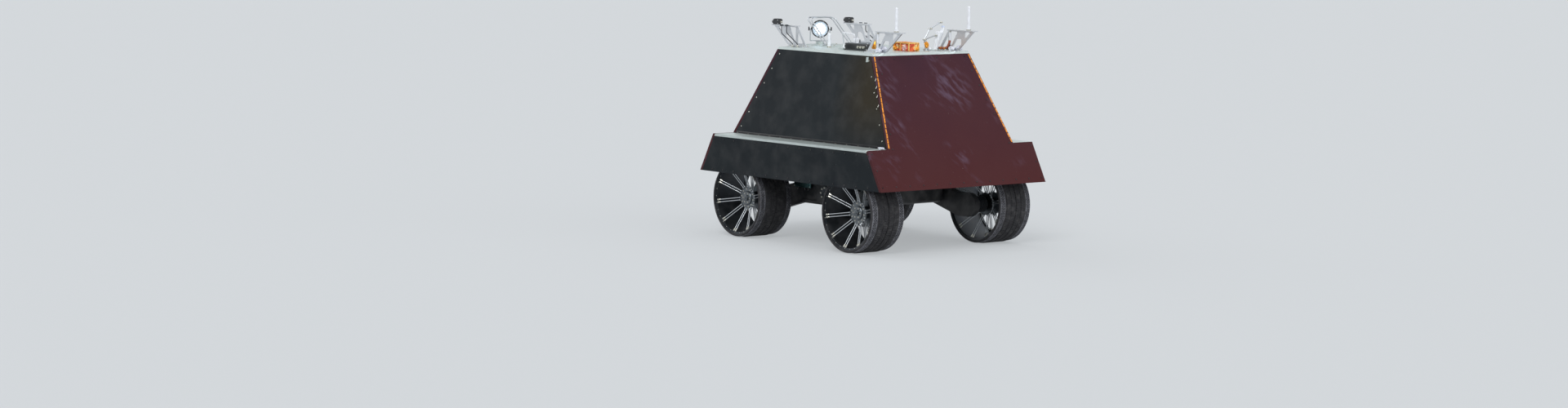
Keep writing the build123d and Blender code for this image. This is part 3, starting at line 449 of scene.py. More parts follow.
def make_finishes():
    """Every finish of the rover, by the record's slot or the piece that it is for."""
    return {
        # Moulded rubber and anodised, drawn and cast metal: dull and dark, so that the pale rods stand out
        "tyre_rubber": moulded_rubber(),
        "rim_metal": bare_metal("anodised_rim", "#54585d", rough=0.42, grain=2, dust=0.35, on_top=0.25),
        "spoke_steel": laced_wheel(),
        "drive_casting": bare_metal("cast_drive", "#4e5257", rough=0.5, grain=3, dust=0.3, on_top=0.2),
        # Sprayed semi-gloss black: soft highlights on the frame, with dust on what faces up
        "frame_paint": painted("frame_paint", "#15171a", rough=0.45, peel=3, dust=0.3, on_top=0.25),
        "battery_case": painted("battery_case", "#1b1c1f", rough=0.5, peel=2, dust=0.1),
        # Teal: the one cool colour under the body, a painted teal light on the case
        "controller_case": bare_metal("teal_lit_case", "#5b7f80", rough=0.36, grain=2, dust=0.15, on_top=0.2,
                                      stretch=(1, 8, 8)),
        # Rolled and milled aluminium: pale satin, with lines along the rolling or the cut
        "bare_aluminium": bare_metal("rolled_plate", list(colours().plate), rough=0.44, grain=3, dust=0.14,
                                     on_top=0.06, stretch=(0.1, 4, 4)),
        "bracket_aluminium": bare_metal("milled_bracket", "#d8dbdf", rough=0.4, grain=2, dust=0.07,
                                        stretch=(1, 1, 8)),
        # Laminates under film: large dark faces with little gloss, against which tape and clips stand out
        "black_panel": side_laminate(),
        "maroon_panel": end_laminate(),
        # Metallised films and tapes: amber, gold, copper and white, glittering where their creases turn
        "amber_tape": film("polyimide_tape", list(colours().amber), crease=16, rough=0.26, strength=0.35,
                           painted_shade_share=0.35),
        "tape_backing": film("copper_tape", "#8f4a1c", crease=9, rough=0.35, strength=0.4),
        # The amber film's deep red is painted shade, and its gold gleams and bright patches are painted highlights
        "amber_film": film("polyimide_film", list(colours().foil), crease=22, metal=0.55, deep="#a3221a",
                           painted_shade_share=0.7, gleam="#ffb341", lit=PAINTED_FILM_HIGHLIGHTS),
        "gold_edge": film("gold_edge_tape", "#ffd07a", crease=9, rough=0.3, strength=0.4, metal=0.55,
                          deep="#d9932c", painted_shade_share=0.4),
        "polyimide_gold": film("polyimide_gold", "#f0a22c", crease=12, rough=0.24, strength=0.5, painted_shade_share=0.5),
        "copper_foil": film("copper_film", list(colours().copper), crease=12, rough=0.5, strength=0.6,
                            metal=0.35),
        "crumpled_white": film("white_film", "#f2f3fa", crease=14, rough=0.4, strength=0.5, metal=0.0,
                               deep="#c3c6d6"),
        # Moulded plastics and pale tape: smooth covers with one soft highlight
        "white_plastic": moulded_white(),
        "pale_blue": painted("pale_blue_plastic", "#c9d6ee", rough=0.3, peel=1, dust=0.05, coat=0.3),
        "pale_tape": painted("pale_tape", "#a9b5b1", rough=0.5, peel=2, dust=0.1),
        # Anodised, powder-coated and moulded black housings: each with its own gloss, from satin to dull
        "camera_body": painted("anodised_black", "#1a1c20", rough=0.38, peel=1, dust=0.1, on_top=0.15),
        "black_box": painted("powder_coat", "#14181b", rough=0.5, peel=1, dust=0.12, on_top=0.2),
        "lamp_body": painted("lamp_powder", "#1c1e21", rough=0.45, peel=1, dust=0.1, on_top=0.1),
        "anodised_black": painted("knob_black", "#121316", rough=0.4, peel=1, dust=0.08),
        # The lamp's lit glass cells, and the dimmer pressed reflector between them
        "lamp_lens": lit_lens("lit_cells", "#eaf4ff", glow=2.5),
        "lit_reflector": lit_lens("lit_reflector", "#a3b4c2", glow=0.3),
        # Coated glass that mirrors the studio, and braided sleeve with a woven sheen
        "dark_glass": dark_glass(),
        "lead_jacket": cable_jacket(),
        # Drawn tube, cast lids and plated fasteners: zinc is warm, steel is white and black oxide is dull
        "steel_tube": bare_metal("satin_tube", "#c3c7cb", rough=0.3, grain=2, dust=0.08),
        "zinc_fastener": bare_metal("zinc_fastener", "#c9c8bf", rough=0.32, grain=1),
        "bright_screw": bare_metal("bright_screw", "#f2f4f6", rough=0.24, grain=1, dust=0.0),
        "lid_metal": bare_metal("cast_lid", "#7d8388", rough=0.42, grain=2, dust=0.2, on_top=0.15),
        "dark_fastener": painted("black_oxide", "#141416", rough=0.5, peel=1, dust=0.1),
    }


FINISH = {}


# Modelling by hand, in code

def only(*pieces):
    """Selects these pieces and nothing else, with the first of them active."""
    if bpy.context.object and bpy.context.object.mode != "OBJECT":
        bpy.ops.object.mode_set(mode="OBJECT")
    bpy.ops.object.select_all(action="DESELECT")
    for piece in reversed(pieces):
        piece.select_set(True)
        bpy.context.view_layer.objects.active = piece


def settled():
    """The active piece, with its place in its mesh."""
    bpy.ops.object.transform_apply(location=True, rotation=True, scale=True)
    return bpy.context.object


def primitive(kind, **place):
    """A mesh primitive at its size and place, alone in the selection."""
    only()
    getattr(bpy.ops.mesh, f"primitive_{kind}_add")(**place)
    return settled()


@contextmanager
def editing(piece):
    """Edit mode on one piece, with nothing selected to begin with."""
    only(piece)
    bpy.ops.object.mode_set(mode="EDIT")
    bpy.ops.mesh.select_all(action="DESELECT")
    yield
    bpy.ops.object.mode_set(mode="OBJECT")


def pick(piece, kind, test):
    """Selects the faces or vertices whose middle and normal pass a test."""
    bpy.ops.mesh.select_mode(type=kind)
    bpy.ops.mesh.select_all(action="DESELECT")
    shape = bmesh.from_edit_mesh(piece.data)
    shape.normal_update()
    if kind == "FACE":
        found = [face for face in shape.faces if test(face.calc_center_median(), face.normal)]
    else:
        found = [vertex for vertex in shape.verts if test(vertex.co, vertex.normal)]
    for element in found:
        element.select = True
    shape.select_flush(True)
    bmesh.update_edit_mesh(piece.data)


def modify(piece, kind, **settings):
    """Adds a modifier and applies it."""
    only(piece)
    added = piece.modifiers.new(kind.title(), kind)
    for key, value in settings.items():
        setattr(added, key, value)
    bpy.ops.object.modifier_apply(modifier=added.name)
    return piece


def join(pieces):
    """One piece of several, with its place in its mesh."""
    only(*pieces)
    if len(pieces) > 1:
        bpy.ops.object.join()
    return settled()


def moved(piece, place):
    """Puts a piece at a place and makes that its mesh's own."""
    piece.matrix_world = place
    return join([piece])


def twin(pattern, place):
    """A copy of a piece, with its own mesh, at a place."""
    made = pattern.copy()
    made.data = pattern.data.copy()
    bpy.context.scene.collection.objects.link(made)
    made.matrix_world = place
    return made


def scatter(pattern, places):
    """Joins a copy of a pattern piece at each place, and removes the pattern."""
    twins = [twin(pattern, place) for place in places]
    bpy.data.objects.remove(pattern)
    return join(twins)


def fit(name, piece, slot, finish=None, at=None, body="chassis", replaced=(), angle=35):
    """Joins, places or repeats a piece, and gives it its name, finish, shading and the body it rides on."""
    if isinstance(piece, list):
        piece = join(piece)
    if isinstance(at, Matrix):
        piece = moved(piece, at)
    elif at:
        piece = scatter(piece, at)
    piece.name = name
    only(piece)
    piece.data.materials.clear()
    piece.data.materials.append(FINISH[finish or slot])
    bpy.ops.object.shade_smooth_by_angle(angle=radians(angle))
    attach(piece, body)
    if replaced:
        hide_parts(*replaced)


def fit_all(rows, ending="", body="chassis"):
    """Fits one piece for each row of a name, a piece, its slot, its finish and its place or places."""
    for name, *rest in rows:
        fit(name + ending, *rest, body=body)


def aim(at, along, turn=0.0):
    """A place whose own +Z points along a direction."""
    facing = Vector(along).to_track_quat("Z", "Y").to_matrix().to_4x4()
    return Matrix.Translation(at) @ facing @ Matrix.Rotation(turn, 4, "Z")


def aimed(points, along):
    """A place at each point, all pointing along one direction."""
    return [aim(point, along) for point in points]


def within(outer, places):
    """Places given in another place's own frame."""
    return [outer @ place for place in places]


def rise(height):
    """A place some millimetres up its own +Z."""
    return Matrix.Translation((0, 0, height * MM))


def row(start, end, pitch):
    """Places evenly spread from one point to another, about a pitch apart."""
    start, end = Vector(start), Vector(end)
    count = max(1, round((end - start).length / pitch))
    return [start.lerp(end, n / count) for n in range(count + 1)]


def ring_of(count, radius, height, first=0.0):
    """Places round a circle on +Z, in millimetres from its middle."""
    turns = [first + n * tau / count for n in range(count)]
    return [Matrix.Translation(Vector((cos(t) * radius, sin(t) * radius, height)) * MM) for t in turns]


def turned(steps, vertices=24, unit=MM):
    """A turned piece on its own +Z: from its foot up, each step is a radius and a height."""
    radius, height = steps[0]
    piece = primitive("circle", vertices=vertices, radius=radius * unit, fill_type="NGON",
                      location=(0, 0, height * unit))
    with editing(piece):
        bpy.ops.mesh.select_all(action="SELECT")
        for wide, high in steps[1:]:
            up = (high - height) * unit
            bpy.ops.mesh.extrude_region_move(TRANSFORM_OT_translate={"value": (0, 0, up)})
            bpy.ops.transform.resize(value=(wide / radius, wide / radius, 1))
            radius, height = wide, high
        bpy.ops.mesh.select_all(action="SELECT")
        bpy.ops.mesh.normals_make_consistent(inside=False)
    return piece


def hex_bolt(size):
    """A hexagon bolt head on its washer, standing on its own z = 0."""
    washer = turned([(1.05, 0), (1.05, 0.14), (0.98, 0.2)], 20, size)
    head = primitive("cylinder", vertices=6, radius=size * 0.92, depth=size * 0.65,
                     location=(0, 0, size * 0.52))
    with editing(head):
        pick(head, "FACE", lambda c, n: n.z > 0.9)
        bpy.ops.mesh.inset(thickness=size * 0.14)
        bpy.ops.transform.translate(value=(0, 0, size * 0.08))
    return join([washer, head])


def button_head(size):
    """A low domed fastener head, standing on its own z = 0."""
    return turned([(0.5, 0), (0.5, 0.14), (0.4, 0.28), (0.24, 0.35), (0.2, 0.22)], 12, size)


def block(first, second, bevel=1.0, segments=2):
    """A block between two corners given in metres, its edges rounded by a radius in millimetres."""
    low, high = (Vector(map(end, first, second)) for end in (min, max))
    piece = primitive("cube", size=1, location=(low + high) / 2, scale=high - low)
    return modify(piece, "BEVEL", width=bevel * MM, segments=segments)


def crumple(piece, size, depth, keep):
    """Creases a piece like film: noise pushes it about, and thinning leaves sharp facets."""
    clouds = bpy.data.textures.new("clouds", "CLOUDS")
    clouds.noise_scale = size * MM
    modify(piece, "DISPLACE", texture=clouds, strength=depth, mid_level=0.5)
    return modify(piece, "DECIMATE", ratio=keep)


def wad(low, high, seed=1):
    """A loosely crumpled piece of film between two corners: large sharp folds, with smaller ones on them."""
    low, high = Vector(low), Vector(high)
    size = high - low
    piece = primitive("ico_sphere", subdivisions=2, radius=0.5, location=(low + high) / 2, scale=size * 0.92)
    with editing(piece):
        for share, along in ((0.17, 0.3), (0.07, 0.1), (0.03, 0.0)):
            bpy.ops.mesh.select_all(action="SELECT")
            bpy.ops.transform.vertex_random(offset=min(size) * share, normal=along, seed=seed)
            if share > 0.05:
                bpy.ops.mesh.subdivide(number_cuts=1)
    for vertex in piece.data.vertices:
        vertex.co = [min(max(c, a), b) for c, a, b in zip(vertex.co, low, high)]
    return piece


class RoverFinishes(bpy.types.Operator):
    """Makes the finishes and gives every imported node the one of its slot"""
    bl_idname = "rover.finishes"
    bl_label = "Finishes"

    def execute(self, context):
        FINISH.update(make_finishes())
        for part in frame["record"]["subparts"]:
            node = frame["nodes"][part["node"]]
            node.data.materials.clear()
            node.data.materials.append(FINISH[part["material_slot"]])
        return {"FINISHED"}


class RoverTyres(bpy.types.Operator):
    """Rubber tyres with low blocks and a toothed band at each shoulder, for the plain ones"""
    bl_idname = "rover.tyres"
    bl_label = "Tyres"

    def execute(self, context):
        low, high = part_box("tyre_front_left")
        rim_low, rim_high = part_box("rim_front_left")
        bead = (rim_high.z - rim_low.z) / 2 + 0.4 * MM
        half, lug, columns = (high.y - low.y) / 2, sizes().lug_height, sizes().lug_columns
        base = (high.z - low.z) / 2 - lug
        band = primitive("cylinder", vertices=columns, radius=base, depth=2 * half, end_fill_type="NOTHING",
                         rotation=(pi / 2, 0, 0))
        # How far out each ring of the tread is, and how far in from the tread's base, in millimetres
        rings = [(3, 0), (50, 0), (57, 0), (104, 0), (118, 1), (122, 1), (160, 2), (166, 3), (half / MM, 12)]
        tooth_low, tooth_high = 122 * MM, 160 * MM
        tooth_middle, reach = (tooth_low + tooth_high) / 2, (tooth_high - tooth_low) / 5

        def odd(c):
            return int((atan2(c.z, c.x) % tau) / (tau / columns)) % 2

        def toothed(c):
            return tooth_low < abs(c.y) < tooth_high

        with editing(band):
            for (out, _), side in product(rings[:-1], BOTH):
                bpy.ops.mesh.select_all(action="SELECT")
                bpy.ops.mesh.bisect(plane_co=(0, side * out * MM, 0), plane_no=(0, 1, 0))
            for out, sunk in rings:
                pick(band, "VERT", lambda c, n: abs(abs(c.y) - out * MM) < 0.1 * MM)
                inward = (base - sunk * MM) / base
                bpy.ops.transform.resize(value=(inward, 1, inward))
            # Two rows of low blocks on each half, staggered
            for near, far, first in ((3, 50, 0), (57, 104, 1)):
                pick(band, "FACE", lambda c, n: near * MM < abs(c.y) < far * MM and odd(c) == first)
                bpy.ops.mesh.inset(thickness=2.2 * MM, use_individual=True)
                bpy.ops.mesh.extrude_region_shrink_fatten(TRANSFORM_OT_shrink_fatten={"value": lug})
                bpy.ops.mesh.inset(thickness=1.4 * MM, use_individual=True)
            # The toothed band: triangles sunk from its inner and its outer edge by turns
            pick(band, "FACE", lambda c, n: toothed(c))
            bpy.ops.mesh.poke()
            pick(band, "FACE", lambda c, n: toothed(c) and (
                abs(c.y) > tooth_middle + reach if odd(c) else abs(c.y) < tooth_middle - reach))
            bpy.ops.mesh.inset(thickness=1.6 * MM, use_individual=True)
            inwards = {"value": -sizes().tooth_depth}
            bpy.ops.mesh.extrude_region_shrink_fatten(TRANSFORM_OT_shrink_fatten=inwards)
            # The walls run in to the beads, which a band inside then joins
            shoulder = base - rings[-1][1] * MM
            for radius in (bead + 5 * MM, bead):
                pick(band, "VERT", lambda c, n: abs(c.y) > half - MM and hypot(c.x, c.z) < shoulder + MM)
                bpy.ops.mesh.select_mode(type="EDGE")
                bpy.ops.mesh.extrude_region_move()
                bpy.ops.transform.resize(value=(radius / shoulder, 1, radius / shoulder))
                shoulder = radius
            bpy.ops.mesh.bridge_edge_loops()
            bpy.ops.mesh.select_all(action="SELECT")
            bpy.ops.mesh.remove_doubles(threshold=0.01 * MM)
            bpy.ops.mesh.normals_make_consistent(inside=False)
        for corner in CORNERS:
            place = Matrix.Translation(JOINTS[f"wheel_{corner}_spin"]["pos_m"])
            fit(f"lugged_tyre_{corner}", [twin(band, place)], "tyre_rubber", body=f"wheel_{corner}",
                replaced=[f"tyre_{corner}"], angle=30)
        bpy.data.objects.remove(band)
        return {"FINISHED"}


def wheel_place(corner):
    """A wheel's middle, with its own +Z pointing out of the vehicle."""
    at = Vector(JOINTS[f"wheel_{corner}_spin"]["pos_m"])
    return Matrix.Translation(at) @ Matrix.Rotation(-copysign(pi / 2, at.y), 4, "X")


class RoverWheels(bpy.types.Operator):
    """Nipples and ferrules of the laced spokes, and the bolts of the hubs"""
    bl_idname = "rover.wheels"
    bl_label = "Wheel fittings"

    def execute(self, context):
        pitch = tau / SPOKE_PAIRS
        nipple = [(5, -24), (6.2, -22), (6.2, -12), (8.5, -11), (8.5, 1), (6, 4)]
        ferrule = [(7.5, -6), (7.5, 8), (6, 14), (5, 15)]
        nut = [(27, 0), (27, 3), (23, 3.2), (23, 13), (20, 15), (11, 15.2), (11, 21), (9, 22)]
        for corner in CORNERS:
            wheel = wheel_place(corner)
            roots, ends = [], []
            for side, pair, offset in product(BOTH, range(SPOKE_PAIRS), (-SPOKE_GAP / 2, SPOKE_GAP / 2)):
                spoke = wheel @ Matrix.Rotation((pair + 0.25 * side) * pitch, 4, "Z")
                root = Vector((SPOKE_ROOT, offset, side * FLANGE_OFFSET)) * MM
                end = Vector((SPOKE_END, offset, side * RING_OFFSET)) * MM
                along = spoke.to_3x3() @ (end - root)
                roots.append(aim(spoke @ root.lerp(end, 0.06), along))
                ends.append(aim(spoke @ end, along))
            bolts = ring_of(SPOKE_PAIRS, 77, HUB_FACE, 0.75 * pitch) + ring_of(6, 41, CAP_FACE)
            fit_all([
                ("spoke_nipples_", turned(nipple, 8), "spoke_steel", "zinc_fastener", ends),
                ("spoke_ferrules_", turned(ferrule, 10), "spoke_steel", None, roots),
                ("hub_bolts_", hex_bolt(6 * MM), "spoke_steel", "zinc_fastener", within(wheel, bolts)),
                ("axle_nut_", turned(nut), "spoke_steel", None, wheel @ rise(CAP_FACE)),
                ("rim_rivets_", button_head(7 * MM), "rim_metal", "zinc_fastener",
                 within(wheel, ring_of(30, 292, RING_FACE))),
            ], corner, f"wheel_{corner}")
        return {"FINISHED"}


class RoverArms(bpy.types.Operator):
    """Bolts of the drives and arms, and the ribbed covers and plugs of the motor controllers"""
    bl_idname = "rover.arms"
    bl_label = "Arm fittings"

    def execute(self, context):
        bolts = []
        for corner in CORNERS:
            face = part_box(f"drive_unit_{corner}")[0 if "left" in corner else 1].y
            depth = abs(JOINTS[f"wheel_{corner}_spin"]["pos_m"][1]) - abs(face) - 12 * MM
            bolts += within(wheel_place(corner), ring_of(8, 76, -depth / MM, pi / 8))
        fit("drive_bolts", hex_bolt(6 * MM), "drive_casting", "zinc_fastener", bolts)
        cap = [(62, 0), (62, 5), (58, 8), (30, 8), (27, 5), (12, 5), (12, 13), (9, 15)]
        plug = [(8, 0), (8, 4), (6.5, 4.2), (6.5, 7), (7.6, 7.2), (7.6, 15), (4.5, 18), (4.5, 24)]
        for name, side in SIDES.items():
            out = (0, side, 0)
            low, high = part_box(f"rocker_arm_{name}")
            pivot = aim((0, side * max(abs(low.y), abs(high.y)), PIVOT_Z), out)
            low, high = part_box(f"motor_controller_{name}")
            face = high.y if side > 0 else low.y
            rear, front, foot, half = low.x + 22 * MM, high.x - 22 * MM, low.z + 10 * MM, 1.6 * MM
            root, proud = face - side * MM, face + side * 3.5 * MM
            ribs = [block((rear, root, at.z - half), (front, proud, at.z + half), bevel=0.8)
                    for at in row((rear, face, high.z - 8 * MM), (rear, face, foot), 7 * MM)]
            screws = product((low.x + 11 * MM, high.x - 11 * MM), (face,), (foot, high.z - 10 * MM))
            plugs = product((low.x + 35 * MM, low.x + 80 * MM, high.x - 45 * MM), (face - side * 10 * MM,),
                            (low.z,))
            fit_all([
                ("pivot_cap_", turned(cap, 40), "drive_casting", None, pivot),
                ("pivot_bolts_", hex_bolt(sizes().bolt_size), "frame_paint", "zinc_fastener",
                 within(pivot, ring_of(8, 46, 8))),
                ("controller_ribs_", ribs, "controller_case"),
                ("controller_screws_", button_head(sizes().rivet_size * 0.75), "controller_case",
                 "zinc_fastener", aimed(screws, out)),
                ("controller_plugs_", turned(plug, 16), "controller_case", "camera_body", aimed(plugs, -UP)),
            ], name)
        return {"FINISHED"}


def end_point(end, y, z):
    """A point on an end panel's outer face."""
    return Vector((end * (DECK_HALF_X + (DECK - z) * tan(RAKE)), y, z))


def end_normal(end):
    """The direction in which an end panel's outer face points."""
    return Vector((end * cos(RAKE), 0, sin(RAKE)))


def side_point(side, x, z):
    """A point on a side panel's outer face."""
    return Vector((x, side * (DECK_HALF_Y + (DECK - z) * FLARE), z))


class RoverPanels(bpy.types.Operator):
    """Fasteners, clips and angles of the body's panels"""
    bl_idname = "rover.panels"
    bl_label = "Panel fittings"

    def execute(self, context):
        pitch, size = sizes().rivet_pitch, sizes().rivet_size
        top, foot, inset = DECK - 45 * MM, SKIRT_FOOT + 35 * MM, 30 * MM
        high_y, low_y = DECK_HALF_Y - 2 * inset, LEDGE_Y - inset
        runs = [((-high_y, top), (high_y, top)), ((-low_y, foot), (low_y, foot))]
        for side in BOTH:
            runs.append(((side * high_y, top), (side * (SHOULDER_Y - 1.5 * inset), LEDGE)))
            runs.append(((side * low_y, LEDGE - inset), (side * low_y, foot)))
        for name, end in ENDS.items():
            places = [point for start, stop in runs
                      for point in row(end_point(end, *start), end_point(end, *stop), pitch)]
            fit(f"end_screws_{name}", button_head(size), "maroon_panel", "dark_fastener",
                aimed(places, end_normal(end)))
        for name, side in SIDES.items():
            self.side(name, side, pitch, size)
        return {"FINISHED"}

    def side(self, name, side, pitch, size):
        """One side's screws, the riveted angle along its foot, and the clips and tab at its rear edge."""
        normal, out = Vector((0, side, FLARE)).normalized(), (0, side, 0)
        heights = [LEDGE + 60 * MM + n * (DECK - LEDGE - 120 * MM) / 5 for n in range(6)]
        screws = [side_point(side, end * (DECK_HALF_X + (DECK - z) * tan(RAKE) - 62 * MM), z)
                  for end, z in product(BOTH, heights)]
        skirt = [point for z in (SKIRT_FOOT + 22 * MM, LEDGE - 45 * MM)
                 for point in row((-1.02, side * LEDGE_Y, z), (1.02, side * LEDGE_Y, z), pitch)]
        reach, root = DECK_HALF_X + (DECK - LEDGE) * tan(RAKE) - 45 * MM, SHOULDER_Y + MM
        flat = block((-reach, side * root, LEDGE), (reach, side * (root + 24 * MM), LEDGE + 2.5 * MM),
                     bevel=0.8)
        lip = block((-reach, side * (root - 4 * MM), LEDGE), (reach, side * root, LEDGE + 18 * MM), bevel=0.8)
        y, z = side * (root + 13 * MM), LEDGE + 2.5 * MM
        clips = []
        for x, high in CLIPS:
            clip = [block((-0.005, -0.012, 0), (0.005, 0.012, 0.003)),
                    block((-0.005, 0.008, 0), (0.005, 0.012, 0.007))]
            clips.append(moved(join(clip), aim(side_point(side, x, high), normal, -RAKE * side)))
        fit_all([
            ("side_screws_", button_head(size), "black_panel", "zinc_fastener", aimed(screws, normal)),
            ("skirt_screws_", button_head(size), "black_panel", "dark_fastener", aimed(skirt, out)),
            ("ledge_angle_", [flat, lip], "black_panel", "anodised_black"),
            ("ledge_rivets_", button_head(8 * MM), "bare_aluminium", "zinc_fastener",
             aimed(row((-reach + 0.03, y, z), (reach - 0.03, y, z), pitch), UP)),
            ("edge_clips_", clips, "black_panel", "zinc_fastener"),
            ("pale_tab_", block((-0.014, -0.021, 0), (0.014, 0.021, 0.0016), bevel=0.6), "white_plastic",
             "pale_tape", aim(side_point(side, -0.559, 1.570), normal, turn=0.12)),
        ], name)


class RoverTape(bpy.types.Operator):
    """Short overlapping pieces of creased amber tape down the end panels' edges"""
    bl_idname = "rover.tape"
    bl_label = "Taped edges"

    def execute(self, context):
        draw = Random(11)
        lap = sizes().tape_lap
        for name, end in ENDS.items():
            strips, bases = [], []
            for side in SIDES.values():
                start = end_point(end, side * SHOULDER_Y, LEDGE + 8 * MM)
                stop = end_point(end, side * DECK_HALF_Y, DECK - 22 * MM)
                along, normal = (stop - start).normalized(), end_normal(end)
                across = normal.cross(along)
                laid = Matrix((along, across, normal)).transposed().to_4x4()
                inward = -copysign(1, across.y * side)
                base = block((0, 0, 0), ((stop - start).length, inward * 18 * MM, 0.6 * MM), bevel=0.2)
                bases.append(moved(base, Matrix.Translation(start) @ laid))
                for place in row(start, stop, lap)[:-1]:
                    strips.append(self.strip(lap * draw.uniform(0.72, 0.95), inward, draw,
                                             Matrix.Translation(place) @ laid))
            fit(f"tape_backing_{name}", bases, "amber_tape", "tape_backing")
            fit(f"taped_edges_{name}", strips, "amber_tape", replaced=[f"edge_trim_{name}"], angle=12)
        return {"FINISHED"}

    def strip(self, lap, inward, draw, place):
        """One piece of tape, creased, with its edges lying lower, and laid at its place."""
        width, inset = 11 * MM, 3.5 * MM
        strip = primitive("grid", x_subdivisions=10, y_subdivisions=6, size=1)
        for vertex in strip.data.vertices:
            edge = vertex.co.y + 0.5
            lift = draw.uniform(0.1, 1.8) * MM * (1 if 0.1 < edge < 0.9 else 0.4)
            vertex.co = ((vertex.co.x + 0.5) * lap, inward * (inset + edge * width), 1.2 * MM + lift)
        modify(strip, "SOLIDIFY", thickness=0.5 * MM, offset=-1)
        tilt = Matrix.Rotation(radians(draw.uniform(-2.5, 2.5)), 4, "Y")
        roll = Matrix.Rotation(radians(draw.uniform(-3, 3)), 4, "X")
        return moved(strip, place @ tilt @ roll)


class RoverBrackets(bpy.types.Operator):
    """Bolts of the corner brackets, and the crumpled film round their feet"""
    bl_idname = "rover.brackets"
    bl_label = "Bracket fittings"

    def execute(self, context):
        for corner in CORNERS:
            low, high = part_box(f"bracket_{corner}")
            end = ENDS[corner.split("_")[0]]
            middle = (low.y + high.y) / 2
            pair = (middle - 22 * MM, middle + 22 * MM)
            bolts = product([end * (DECK_HALF_X - step) for step in (0.022, 0.110, 0.198)], pair,
                            (low.z + 8 * MM,))
            screws = product([end * (DECK_HALF_X + step) for step in (-0.075, 0.020, 0.105)], pair, (high.z,))
            fit_all([
                ("bracket_bolts_", hex_bolt(sizes().bolt_size), "bracket_aluminium", "zinc_fastener",
                 aimed(bolts, UP)),
                ("shelf_screws_", button_head(9 * MM), "bracket_aluminium", "zinc_fastener",
                 aimed(screws, UP)),
            ], corner)
        pale = [wad((x1, y1, DECK + z1), (x2, y2, DECK + z2), seed)
                for seed, (x1, y1, z1, x2, y2, z2) in enumerate(FOOT_FILM)]
        fit("crumpled_foot_film", pale, "white_plastic", "crumpled_white", angle=8)
        gold = wad((-0.436, 0.324, DECK), (-0.398, 0.366, DECK + 0.112), seed=12)
        fit("gold_corner_film", gold, "amber_film", "polyimide_gold", angle=8)
        loops = []
        for x, y, lean in TIES:
            loop = primitive("torus", major_radius=0.016, minor_radius=0.0022, major_segments=28,
                             minor_segments=8, rotation=(pi / 2, 0, 0))
            with editing(loop):
                bpy.ops.mesh.select_all(action="SELECT")
                bpy.ops.transform.resize(value=(0.75, 1, 1.15))
            place = Matrix.Translation((x, y, DECK + 0.020)) @ Matrix.Rotation(lean, 4, "X")
            loops.append(moved(loop, place))
        fit("tie_loops", loops, "white_plastic")
        return {"FINISHED"}


def foot_of(node):
    """The middle of a node's foot."""
    low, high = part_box(node)
    return Matrix.Translation(((low.x + high.x) / 2, (low.y + high.y) / 2, low.z))


class RoverAntennas(bpy.types.Operator):
    """Nuts and bands of the stub antennas, the rods' sleeves and the beacon's collar"""
    bl_idname = "rover.antennas"
    bl_label = "Antenna fittings"

    def execute(self, context):
        nut = [(21, 0), (22.5, 1.5), (22.5, 9), (21, 10.5)]
        band = [(12, 22), (13.4, 23), (13.4, 30), (12.5, 31), (12.5, 34), (13.2, 34.4), (13.2, 37), (12, 38)]
        sleeve = [(3.5, 0), (7.6, 2), (7.6, 12), (5, 16), (5, 18), (3.6, 20)]
        for name, side in SIDES.items():
            at = foot_of(f"antenna_{name}")
            rod = Matrix.Translation((ROD_X, side * BRACKET_Y + 0.0113, DECK + 0.154))
            fit_all([
                ("antenna_nut_", turned(nut, 6), "white_plastic", "zinc_fastener", at),
                ("antenna_band_", turned(band, 32), "white_plastic", None, at),
                ("rod_sleeve_", turned(sleeve, 20), "white_plastic", "zinc_fastener", rod),
            ], name)
        at = foot_of("beacon")
        collar = [(22, 0), (22, 3), (18, 4), (18, 10), (16.5, 12), (15, 12.2)]
        ring = turned([(15, 0), (15.8, 0.8), (15.8, 3.2), (15, 4)], 32)
        fit("beacon_collar", turned(collar, 32), "white_plastic", "zinc_fastener", at)
        fit("beacon_bands", ring, "white_plastic", None, within(at, [rise(30), rise(74)]))
        return {"FINISHED"}


